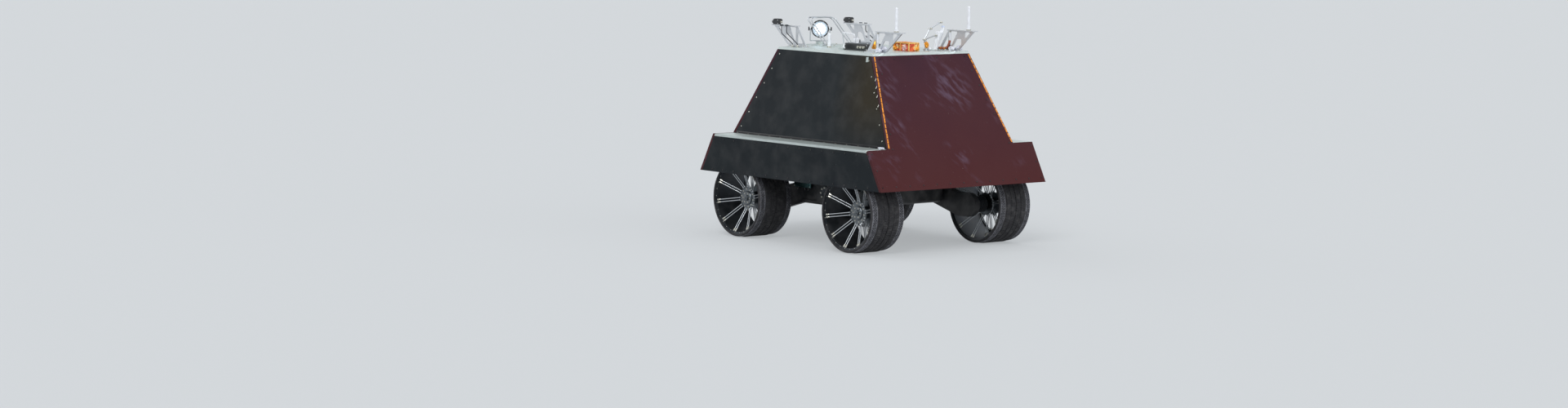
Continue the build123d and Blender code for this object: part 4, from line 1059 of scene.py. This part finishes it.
class RoverCameras(bpy.types.Operator):
    """Hoods, glass, fins, screws and plugs of the two cameras"""
    bl_idname = "rover.cameras"
    bl_label = "Camera fittings"

    def execute(self, context):
        hood = [(19.5, 0), (19.5, 2.5), (17, 3), (17, 15.6), (16.4, 16.4), (12.6, 16.4), (11.6, 14.4)]
        glass = [(11.4, 14.1), (11.2, 14.8), (9, 15.7), (6, 16.2), (2.5, 16.4)]
        plug = [(9, 0), (9, 4), (7, 4.2), (7, 7), (8, 7.2), (8, 17), (5, 20), (4, 26)]
        for name in SIDES:
            # The lens stands 14 mm out of the housing's front face
            low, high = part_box(f"camera_{name}")
            y, z, back, front = (low.y + high.y) / 2, (low.z + high.z) / 2, low.x, high.x - 14 * MM
            eye = aim((front, y, z), (1, 0, 0))
            left, right, proud = high.y - 4 * MM, low.y + 4 * MM, high.z + 4 * MM
            fins = [block((x, right, high.z), (x + 2 * MM, left, proud), bevel=0.5)
                    for x in [back + 0.012 + n * 0.007 for n in range(8)]]
            faced = product((front,), (y - 19 * MM, y + 19 * MM), (z - 16 * MM, z + 16 * MM))
            screws = aimed(faced, (1, 0, 0))
            for face, facing in ((low.y, -1), (high.y, 1)):
                beside = product((back + 8 * MM, front - 8 * MM), (face,), (low.z + 7 * MM, high.z - 7 * MM))
                screws += aimed(beside, (0, facing, 0))
            fit_all([
                ("camera_hood_", turned(hood, 40), "camera_body", None, eye),
                ("camera_fins_", fins, "camera_body"),
                ("camera_screws_", button_head(sizes().screw_size), "camera_body", "bright_screw", screws),
                ("camera_plug_", turned(plug, 18), "camera_body", "zinc_fastener",
                 aim((back, y, z), (-1, 0, 0))),
            ], name)
            fit(f"camera_glass_{name}", turned(glass, 32), "camera_body", "dark_glass", eye, angle=60)
        caps = product([DECK_HALF_X + out for out in LEADS_OUT], (-LEAD_Y, LEAD_Y), (SHELF,))
        glands = product([DECK_HALF_X + out - 0.150 for out in LEADS_OUT], (-LEAD_Y, LEAD_Y), (DECK,))
        gland = [(11, 0), (12, 1), (12, 7), (11, 8), (8, 8.2), (8, 12), (5, 16), (4.2, 20)]
        cap = [(7.5, 0), (7.5, 3), (6, 4), (6, 9), (5, 10)]
        fit("lead_plug_caps", turned(cap, 16), "lead_jacket", "bright_screw", aimed(caps, UP))
        fit("lead_glands", turned(gland, 6), "lead_jacket", "zinc_fastener", aimed(glands, UP))
        return {"FINISHED"}


class RoverLamp(bpy.types.Operator):
    """Lit face, bezel, cooling fins and knobs of the lamp, and the bolts of its plate"""
    bl_idname = "rover.lamp"
    bl_label = "Lamp fittings"

    def execute(self, context):
        pan, tilt = JOINTS["lamp_pan"]["pos_m"], JOINTS["lamp_tilt"]["pos_m"]
        head = Matrix.Translation(tilt) @ Matrix.Rotation(LAMP_FACING, 4, "Z")
        beam = head @ Matrix.Rotation(pi / 2, 4, "Y")
        cells = [Matrix.Identity(4)] + ring_of(6, 20, 0) + ring_of(12, 40, 0, pi / 12)
        cell = [(9.4, 0), (9.2, 2), (7.6, 4), (5, 5.2), (2, 5.6)]
        fit("lamp_cells", turned(cell, 20), "lamp_lens", at=within(beam @ rise(40.2), cells),
            body="lamp_head_body", replaced=["lamp_lens"], angle=50)
        face = [(65.5, 39.4), (65.5, 41), (62, 41.5), (60, 40.5)]
        bezel = [(75.5, 34), (76, 35), (76, 47), (74.5, 49.5), (67, 49.5), (65.6, 46), (65.6, 39)]
        rib = [(74, 0), (75.4, 0.7), (75.4, 3.3), (74, 4)]
        knob = [(9, 0), (9, 3), (16, 4), (17, 6), (17, 11), (15, 13), (7, 13.4)]
        fins = []
        for step in range(-4, 5):
            y, tall = step * 9 * MM, (1 - (step / 6) ** 2) ** 0.5 * 42 * MM
            fins.append(block((-62 * MM, y - MM, -tall), (-44 * MM, y + MM, tall), bevel=0.7))
        fit_all([
            ("lamp_reflector", turned(face, 64), "lamp_lens", "lit_reflector", beam),
            ("lamp_bezel", turned(bezel, 64), "lamp_body", None, beam),
            ("bezel_screws", button_head(sizes().screw_size), "lamp_body", "bright_screw",
             within(beam, ring_of(8, 70.8, 49.4, pi / 8))),
            ("lamp_fins", fins, "lamp_body", None, head),
            ("lamp_ribs", turned(rib, 64), "lamp_body", None, within(beam, map(rise, (-12, -2, 8, 18)))),
            ("tilt_knobs", turned(knob, 10), "lamp_body", "anodised_black", self.trunnions(head, 88.4)),
        ], body="lamp_head_body")
        washer = turned([(16, 0), (16, 1.2), (13, 1.6)], 28)
        fit("tilt_washers", washer, "steel_tube", None, self.trunnions(head, 87.9), "lamp_yoke_body")
        low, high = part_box("lamp_mount")
        top = DECK + 8 * MM
        bolts = list(product((low.x + 0.018, low.x + 0.130, 0.595), (low.y + 0.055, high.y - 0.055), (top,)))
        bolts += product((0.435,), (-0.137, 0.137), (top + 8 * MM,))
        fit("lamp_plate_bolts", hex_bolt(sizes().bolt_size), "bare_aluminium", "zinc_fastener",
            aimed(bolts, UP))
        collar = turned([(36, 0), (36, 4), (34.5, 5)], 48)
        fit("pan_collar", collar, "bare_aluminium", None, Matrix.Translation((pan[0], pan[1], top)))
        return {"FINISHED"}

    def trunnions(self, head, out):
        """A place at each end of the lamp's tilt pin, some millimetres out."""
        return [head @ aim((0, side * out * MM, 0), (0, side, 0)) for side in BOTH]


class RoverElectronics(bpy.types.Operator):
    """Lid, ears, plugs and small fittings of the electronics box"""
    bl_idname = "rover.electronics"
    bl_label = "Electronics box"

    def execute(self, context):
        # The housing's own faces: the node's box also takes in its rear plug and the two on its lid
        low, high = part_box("electronics_box")
        rear, front, left, right = low.x + 0.025, high.x, high.y, low.y
        foot, top, screw = DECK, DECK + 0.058, sizes().screw_size
        lid = [block((rear + 0.010, right + 0.010, top - 0.002),
                     (front - 0.010, left - 0.010, top + 0.003), bevel=2)]
        lid += [block((x, right + 0.022, top), (x + 0.004, left - 0.022, top + 0.007))
                for x in [rear + 0.030 + n * 0.014 for n in range(9)]]
        above = product((rear + 0.018, (rear + front) / 2, front - 0.018), (right + 0.017, left - 0.017),
                        (top + 0.003,))
        beside = product((rear + 0.010, front - 0.010), (left,), (foot + 0.012, top - 0.012))
        screws = aimed(above, UP) + aimed(beside, (0, 1, 0))
        ears, bolts = [], []
        for (x, out), y in product(((rear, -1), (front, 1)), (right + 0.022, (left + right) / 2 - 0.010)):
            ears.append(block((x, y - 0.014, foot), (x + out * 0.020, y + 0.014, foot + 0.004), bevel=1.5))
            bolts.append((x + out * 0.011, y, foot + 0.004))
        socket = [(11, 0), (11, 3), (9, 3.2), (9, 6), (10.4, 6.2), (10.4, 15), (8.5, 16.5), (6, 16.5),
                  (5.6, 13)]
        sockets = product((-0.262, -0.226, -0.190), (left,), (foot + 0.030,))
        vents = [block((x, left - 0.001, foot + 0.012), (x + 0.005, left + 0.002, foot + 0.044), bevel=0.8)
                 for x in [-0.140 + n * 0.012 for n in range(10)]]
        upright = [(15, 0), (15, 5), (12.4, 6), (12.4, 16), (14, 17), (14, 27), (12.4, 28), (12.4, 47),
                   (11, 50.3)]
        lying = [(15, 0), (15, 4), (12.4, 5), (12.4, 12), (14, 13), (14, 22), (12, 25.4)]
        small = [block((-0.046, 0.176, top + 0.002), (-0.018, 0.214, top + 0.026), bevel=2.5),
                 block((-0.062, 0.226, top + 0.002), (-0.034, 0.248, top + 0.018), bevel=2.5)]
        gland = [(14, 0), (14, 4), (10, 5), (10, 12), (6.5, 18), (5.2, 26)]
        low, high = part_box("payload_plate")
        corners = product((low.x + 0.008, high.x - 0.008), (low.y + 0.008, high.y - 0.008), (high.z,))
        fit_all([
            ("electronics_lid", lid, "black_box", "lid_metal"),
            ("electronics_screws", button_head(screw + 2 * MM), "black_box", "bright_screw", screws),
            ("electronics_ears", ears, "black_box", "lid_metal"),
            ("electronics_bolts", hex_bolt(screw), "black_box", "zinc_fastener", aimed(bolts, UP)),
            ("electronics_sockets", turned(socket, 20), "black_box", "zinc_fastener",
             aimed(sockets, (0, 1, 0))),
            ("electronics_ribs", vents, "black_box"),
            ("upright_plugs", turned(upright, 28), "white_plastic", None,
             aimed([(x, PLUG_Y, top) for x in (-0.072, -0.110)], UP)),
            ("rear_plug", turned(lying, 28), "white_plastic", None,
             aim((rear, PLUG_Y, foot + 0.029), (-1, 0, 0))),
            ("lid_modules", small, "black_box", "lid_metal"),
            ("white_lead_gland", turned(gland, 20), "white_plastic", None,
             Matrix.Translation((0.150, 0.196, foot))),
            ("plate_screws", button_head(screw), "bare_aluminium", "dark_fastener", aimed(corners, UP)),
        ])
        return {"FINISHED"}


class RoverFilmBox(bpy.types.Operator):
    """Box wrapped in creased amber film with gold taped edges, for the plain one"""
    bl_idname = "rover.film_box"
    bl_label = "Film-wrapped box"

    def execute(self, context):
        low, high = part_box("film_wrapped_box")
        crease = sizes().film_crease
        body = primitive("cube", size=1, location=(low + high) / 2 - UP * 2 * MM,
                         scale=(high - low) - Vector((1, 1, 1)) * crease * 0.7)
        modify(body, "BEVEL", width=2.5 * MM, segments=2)
        with editing(body):
            bpy.ops.mesh.select_all(action="SELECT")
            bpy.ops.mesh.subdivide(number_cuts=14)
        crumple(body, size=26, depth=crease * 1.5, keep=0.16)
        for vertex in body.data.vertices:
            vertex.co.z = max(vertex.co.z, low.z)
        fit("crinkled_film_box", body, "amber_film", replaced=["film_wrapped_box"], angle=10)
        top, foot = high.z - 1.5 * MM, low.z + 4 * MM
        edges = []
        for x in (low.x, high.x):
            edges.append(self.edge((x, low.y, top), (x, high.y, top)))
            for y in (low.y, high.y):
                edges.append(self.edge((x, y, foot), (x, y, top)))
        for y in (low.y, high.y):
            edges.append(self.edge((low.x, y, top), (high.x, y, top)))
        x, y = low.x * 0.45 + high.x * 0.55, high.y - MM
        edges.append(self.edge((x, y, foot), (x, y, top)))
        fit("gold_taped_edges", edges, "amber_tape", "gold_edge", angle=10)
        far = Vector((high.x, high.y, low.z))
        wads = [wad(low + Vector((-0.010, -0.010, 0)), low + Vector((0.016, 0.030, 0.040)), seed=21),
                wad(far + Vector((-0.034, -0.006, 0)), far + Vector((0.008, 0.012, 0.042)), seed=22)]
        fit("gold_film_ends", wads, "amber_film", "polyimide_gold", angle=8)
        return {"FINISHED"}

    def edge(self, start, stop):
        """A narrow creased band of tape that wraps one edge of the box."""
        start, stop = Vector(start), Vector(stop)
        band = primitive("cube", size=1, scale=(9 * MM, 9 * MM, 1))
        with editing(band):
            pick(band, "FACE", lambda c, n: abs(n.z) < 0.5)
            bpy.ops.mesh.inset(thickness=1.2 * MM, use_individual=True)
            for cut in range(1, 18):
                bpy.ops.mesh.select_all(action="SELECT")
                bpy.ops.mesh.bisect(plane_co=(0, 0, cut / 18 - 0.5), plane_no=(0, 0, 1))
        stretch = Matrix.Diagonal((1, 1, (stop - start).length, 1))
        moved(band, aim((start + stop) / 2, stop - start) @ stretch)
        return crumple(band, size=11, depth=2.2 * MM, keep=0.9)


class RoverSensor(bpy.types.Operator):
    """Bands, screws, foot plate and bar caps of the tapered sensor, and its arm's clamps"""
    bl_idname = "rover.sensor"
    bl_label = "Sensor fittings"

    def execute(self, context):
        foot, low_radius, high_radius, tall = SENSOR_AT, 17, 33, 148
        cup = Matrix.Translation(foot + UP * 6 * MM) @ Matrix.Rotation(SENSOR_LEAN, 4, "X")

        def wide(height):
            return low_radius + (high_radius - low_radius) * height / tall

        bands = []
        for foot_z, top_z, proud in ((14, 19, 1.6), (62, 65, 1.2), (104, 107, 1.2), (138, 146, 2.2)):
            r = wide(foot_z)
            band = [(r, foot_z), (r + proud, foot_z + 0.8), (r + proud, top_z - 0.8), (r, top_z)]
            bands.append(turned(band, 40))
        lean = Matrix.Rotation(-atan2(wide(98) - wide(24), 98 - 24), 4, "X")
        rib = Matrix.Translation((0, (wide(24) + 0.6) * MM, 26 * MM)) @ lean
        ribs = [Matrix.Rotation(turn * tau / 4 + 0.4, 4, "Z") @ rib for turn in range(4)]
        caps = [cup @ Matrix.Translation((x, -22 * MM, (tall + 66) * MM)) for x in (-9 * MM, 9 * MM)]
        cap = [(7.5, -14), (8.6, -13), (8.6, -2), (7, 0.5), (4, 1)]
        bolts = [foot + Vector((i * 0.027, j * 0.027, 0.004)) for i, j in product(BOTH, BOTH)]
        plate = block(foot + Vector((-0.034, -0.034, 0)), foot + Vector((0.034, 0.034, 0.004)), bevel=2)
        fit_all([
            ("sensor_bands", bands, "white_plastic", None, cup),
            ("sensor_screws", button_head(sizes().screw_size), "white_plastic", "zinc_fastener",
             within(cup, ring_of(6, 27.5, 153))),
            ("sensor_bar_caps", turned(cap), "white_plastic", "pale_blue", caps),
            ("sensor_ribs", block((-0.0045, 0, 0), (0.0045, 0.0022, 0.062)), "white_plastic", None,
             within(cup, ribs)),
            ("sensor_foot", plate, "bare_aluminium"),
            ("sensor_bolts", hex_bolt(sizes().screw_size), "bare_aluminium", "zinc_fastener",
             aimed(bolts, UP)),
        ])
        self.arm(ARM_FOOT)
        return {"FINISHED"}

    def arm(self, foot):
        """Clamp screws on the arm's knuckles, its foot bolts, and gold and white film at its foot."""
        knuckles = [foot + UP * 12 * MM]
        for across, up in ((18, 81), (-63, 91), (-113, 51)):
            knuckles.append(knuckles[-1] + Vector((0, across, up)) * MM)
        knuckles.append(knuckles[1] + Vector((0, -120, 32)) * MM)
        clamp = [(8, -13), (8, 12), (6, 13), (4, 13.2), (4, 17), (9, 17.2), (9, 22), (7.5, 23)]
        fit("arm_clamps", turned(clamp, 14), "steel_tube", "zinc_fastener", aimed(knuckles[1:], (-1, 0, 0)))
        fit("arm_foot_bolts", hex_bolt(5 * MM), "steel_tube", "zinc_fastener",
            within(Matrix.Translation(foot), ring_of(3, 16, 12)))
        gold = wad(foot + Vector((-0.030, -0.016, 0.016)), foot + Vector((0.008, 0.022, 0.080)), seed=31)
        fit("arm_gold_film", gold, "amber_film", "polyimide_gold", angle=8)
        white = wad(foot + Vector((-0.030, -0.046, 0)), foot + Vector((0.010, -0.014, 0.030)), seed=32)
        fit("arm_white_film", white, "white_plastic", "crumpled_white", angle=8)


class RoverLoom(bpy.types.Operator):
    """Loom wrapped in creased copper film, with its gland, for the plain one"""
    bl_idname = "rover.loom"
    bl_label = "Film-wrapped loom"

    def execute(self, context):
        # The loom's middle across, its height where it rests on the bracket's foot, and its end in the gland
        low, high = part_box("harness")
        y, rest, end_x = low.y + 17 * MM, DECK + 18.3 * MM, -DECK_HALF_X + 0.243
        route = [(ROD_X, high.z), (ROD_X, DECK + 0.072), (ROD_X + 0.018, DECK + 0.040),
                 (ROD_X + 0.040, rest + 0.002), (ROD_X + 0.100, rest), (end_x, rest)]
        loom = self.tube([(x, y, z) for x, z in route], 11.5 * MM)
        modify(loom, "SUBSURF", levels=1, render_levels=1)
        crumple(loom, size=9, depth=5 * MM, keep=0.45)
        fit("film_wrapped_loom", loom, "copper_foil", replaced=["harness"], angle=10)
        gland = [(16.6, 0), (16.6, 5), (13, 6), (13, 12), (15, 13), (15, 26), (12, 31), (9, 34)]
        bands = aimed([(ROD_X + step, y, rest) for step in (0.055, 0.105, 0.150)], (1, 0, 0))
        band = [(12.2, -4), (12.9, -3.5), (12.9, 3.5), (12.2, 4)]
        fit("loom_gland", turned(gland, 6), "copper_foil", "zinc_fastener",
            Matrix.Translation((end_x, y, DECK)))
        fit("loom_bands", turned(band, 20), "copper_foil", "polyimide_gold", bands)
        return {"FINISHED"}

    def tube(self, route, radius):
        """A round tube on a smooth curve along a route."""
        path = bpy.data.curves.new("tube", "CURVE")
        path.dimensions = "3D"
        spline = path.splines.new("NURBS")
        spline.points.add(len(route) - 1)
        for point, place in zip(spline.points, route):
            point.co = (*place, 1)
        spline.order_u, spline.use_endpoint_u = 3, True
        path.bevel_depth, path.bevel_resolution = radius, 2
        path.use_fill_caps = True
        piece = bpy.data.objects.new("tube", path)
        bpy.context.scene.collection.objects.link(piece)
        only(piece)
        bpy.ops.object.convert(target="MESH")
        return bpy.context.object


class RoverDeck(bpy.types.Operator):
    """Screws round the deck, and the bolts of the underframe"""
    bl_idname = "rover.deck"
    bl_label = "Deck fittings"

    def execute(self, context):
        pitch = sizes().rivet_pitch
        x_edge, y_edge = DECK_HALF_X - 18 * MM, DECK_HALF_Y - 14 * MM
        y_far = y_edge - 60 * MM
        places = []
        for side in BOTH:
            places += row((-x_edge, side * y_edge, DECK), (x_edge, side * y_edge, DECK), pitch)
            places += row((side * x_edge, -y_far, DECK), (side * x_edge, y_far, DECK), pitch / 2)
        # No screw stands where a bracket or the lamp's plate does
        free = [p for p in places if not (abs(p.x) > 0.36 and abs(abs(p.y) - BRACKET_Y) < 0.045)
                and not (p.x > 0.36 and abs(p.y) < 0.165)]
        low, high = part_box("underframe")
        y = high.y - 20 * MM
        bolts = product((-0.96, -0.75, -0.54, -0.16, 0.16, 0.54, 0.75, 0.96), (-y, y), (low.z,))
        tub_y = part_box("chassis_tub")[1].y
        seams = [aim(point, (0, side, 0)) for side, end in product(BOTH, BOTH)
                 for point in row((end * 0.39, side * tub_y, 0.42), (end * 0.39, side * tub_y, 0.74), 0.08)]
        fit_all([
            ("deck_screws", button_head(sizes().rivet_size * 0.8), "bare_aluminium", "zinc_fastener",
             aimed(free, UP)),
            ("underframe_bolts", hex_bolt(sizes().bolt_size), "frame_paint", "zinc_fastener",
             aimed(bolts, -UP)),
            ("tub_rivets", button_head(9 * MM), "frame_paint", "dark_fastener", seams),
        ])
        return {"FINISHED"}


class RoverStage(bpy.types.Operator):
    """Pale floor and backdrop, soft lights and the camera"""
    bl_idname = "rover.stage"
    bl_label = "Stage"

    def execute(self, context):
        scene = bpy.context.scene
        pale = {"Color": linear("#d5d9dc"), "Strength": 1.0}
        floor = primitive("plane", size=160)
        floor.name = "floor"
        made, node, _ = material("pale_floor")
        paint = node("BsdfPrincipled", {"Base Color": linear("#c6c9cb"), "Roughness": 0.95,
                                        "Specular IOR Level": 0.1})
        # The floor shines by itself for about half of what is seen of it, so it is pale and keeps the shadow
        share = node("Math", {"operation": "MULTIPLY", 0: self.seen(node), 1: 0.55})
        mixed = node("MixShader", {0: share, 1: paint, 2: node("Emission", pale)})
        node("OutputMaterial", {"Surface": mixed})
        floor.data.materials.append(made)
        world = bpy.data.worlds.new("studio")
        scene.world = world
        world.use_nodes = True
        world.node_tree.nodes.clear()
        node = partial(add, world.node_tree)
        dim = node("Background", {"Color": linear("#d4d8de"), "Strength": 0.62})
        mixed = node("MixShader", {0: self.seen(node), 1: dim, 2: node("Background", pale)})
        node("OutputWorld", {"Surface": mixed})
        for name, toward, strength, width in LIGHTS:
            data = bpy.data.lights.new(name, "SUN")
            data.energy, data.angle = strength, radians(width)
            light = bpy.data.objects.new(name, data)
            light.matrix_world = aim((0, 0, 10), toward)
            scene.collection.objects.link(light)
        data = bpy.data.cameras.new("camera")
        data.sensor_width, data.lens, data.clip_end = 36, CAMERA_LENS, 300
        camera = bpy.data.objects.new("camera", data)
        look = Vector(CAMERA_TARGET) - Vector(CAMERA_AT)
        turn = look.to_track_quat("-Z", "Y") @ Quaternion((0, 0, 1), radians(CAMERA_ROLL))
        camera.matrix_world = Matrix.Translation(CAMERA_AT) @ turn.to_matrix().to_4x4()
        scene.collection.objects.link(camera)
        bpy.context.scene.camera = camera
        scene.view_settings.view_transform = "Standard"
        return {"FINISHED"}

    def seen(self, node):
        """1 for what the camera, a reflection or glass sees, and 0 for light that falls on things."""
        rays = [node("LightPath", out=f"Is {kind} Ray") for kind in ("Camera", "Glossy", "Transmission")]
        first = node("Math", {"operation": "MAXIMUM", 0: rays[0], 1: rays[1]})
        return node("Math", {"operation": "MAXIMUM", 0: first, 1: rays[2]})


OPERATORS = (RoverFinishes, RoverTyres, RoverWheels, RoverArms, RoverPanels, RoverTape, RoverBrackets,
             RoverAntennas, RoverCameras, RoverLamp, RoverElectronics, RoverFilmBox, RoverSensor, RoverLoom,
             RoverDeck, RoverStage)


class RoverPanel(bpy.types.Panel):
    """Lists the rover's sizes, colours and pieces"""
    bl_idname = "VIEW3D_PT_rover"
    bl_label = "Rover"
    bl_space_type = "VIEW_3D"
    bl_region_type = "UI"
    bl_category = "Rover"

    def draw(self, context):
        for group in (context.scene.rover_sizes, context.scene.rover_colours):
            column = self.layout.column()
            for name in group.__annotations__:
                column.prop(group, name)
        for operator in OPERATORS:
            self.layout.operator(operator.bl_idname)


CLASSES = (RoverSizes, RoverColours, *OPERATORS, RoverPanel)


def register():
    for made in CLASSES:
        bpy.utils.register_class(made)
    bpy.types.Scene.rover_sizes = PointerProperty(type=RoverSizes)
    bpy.types.Scene.rover_colours = PointerProperty(type=RoverColours)


def unregister():
    del bpy.types.Scene.rover_sizes
    del bpy.types.Scene.rover_colours
    for made in reversed(CLASSES):
        bpy.utils.unregister_class(made)


def main():
    register()
    for operator in OPERATORS:
        getattr(bpy.ops.rover, operator.bl_idname.split(".")[1])()


if __name__ == "__main__":
    main()
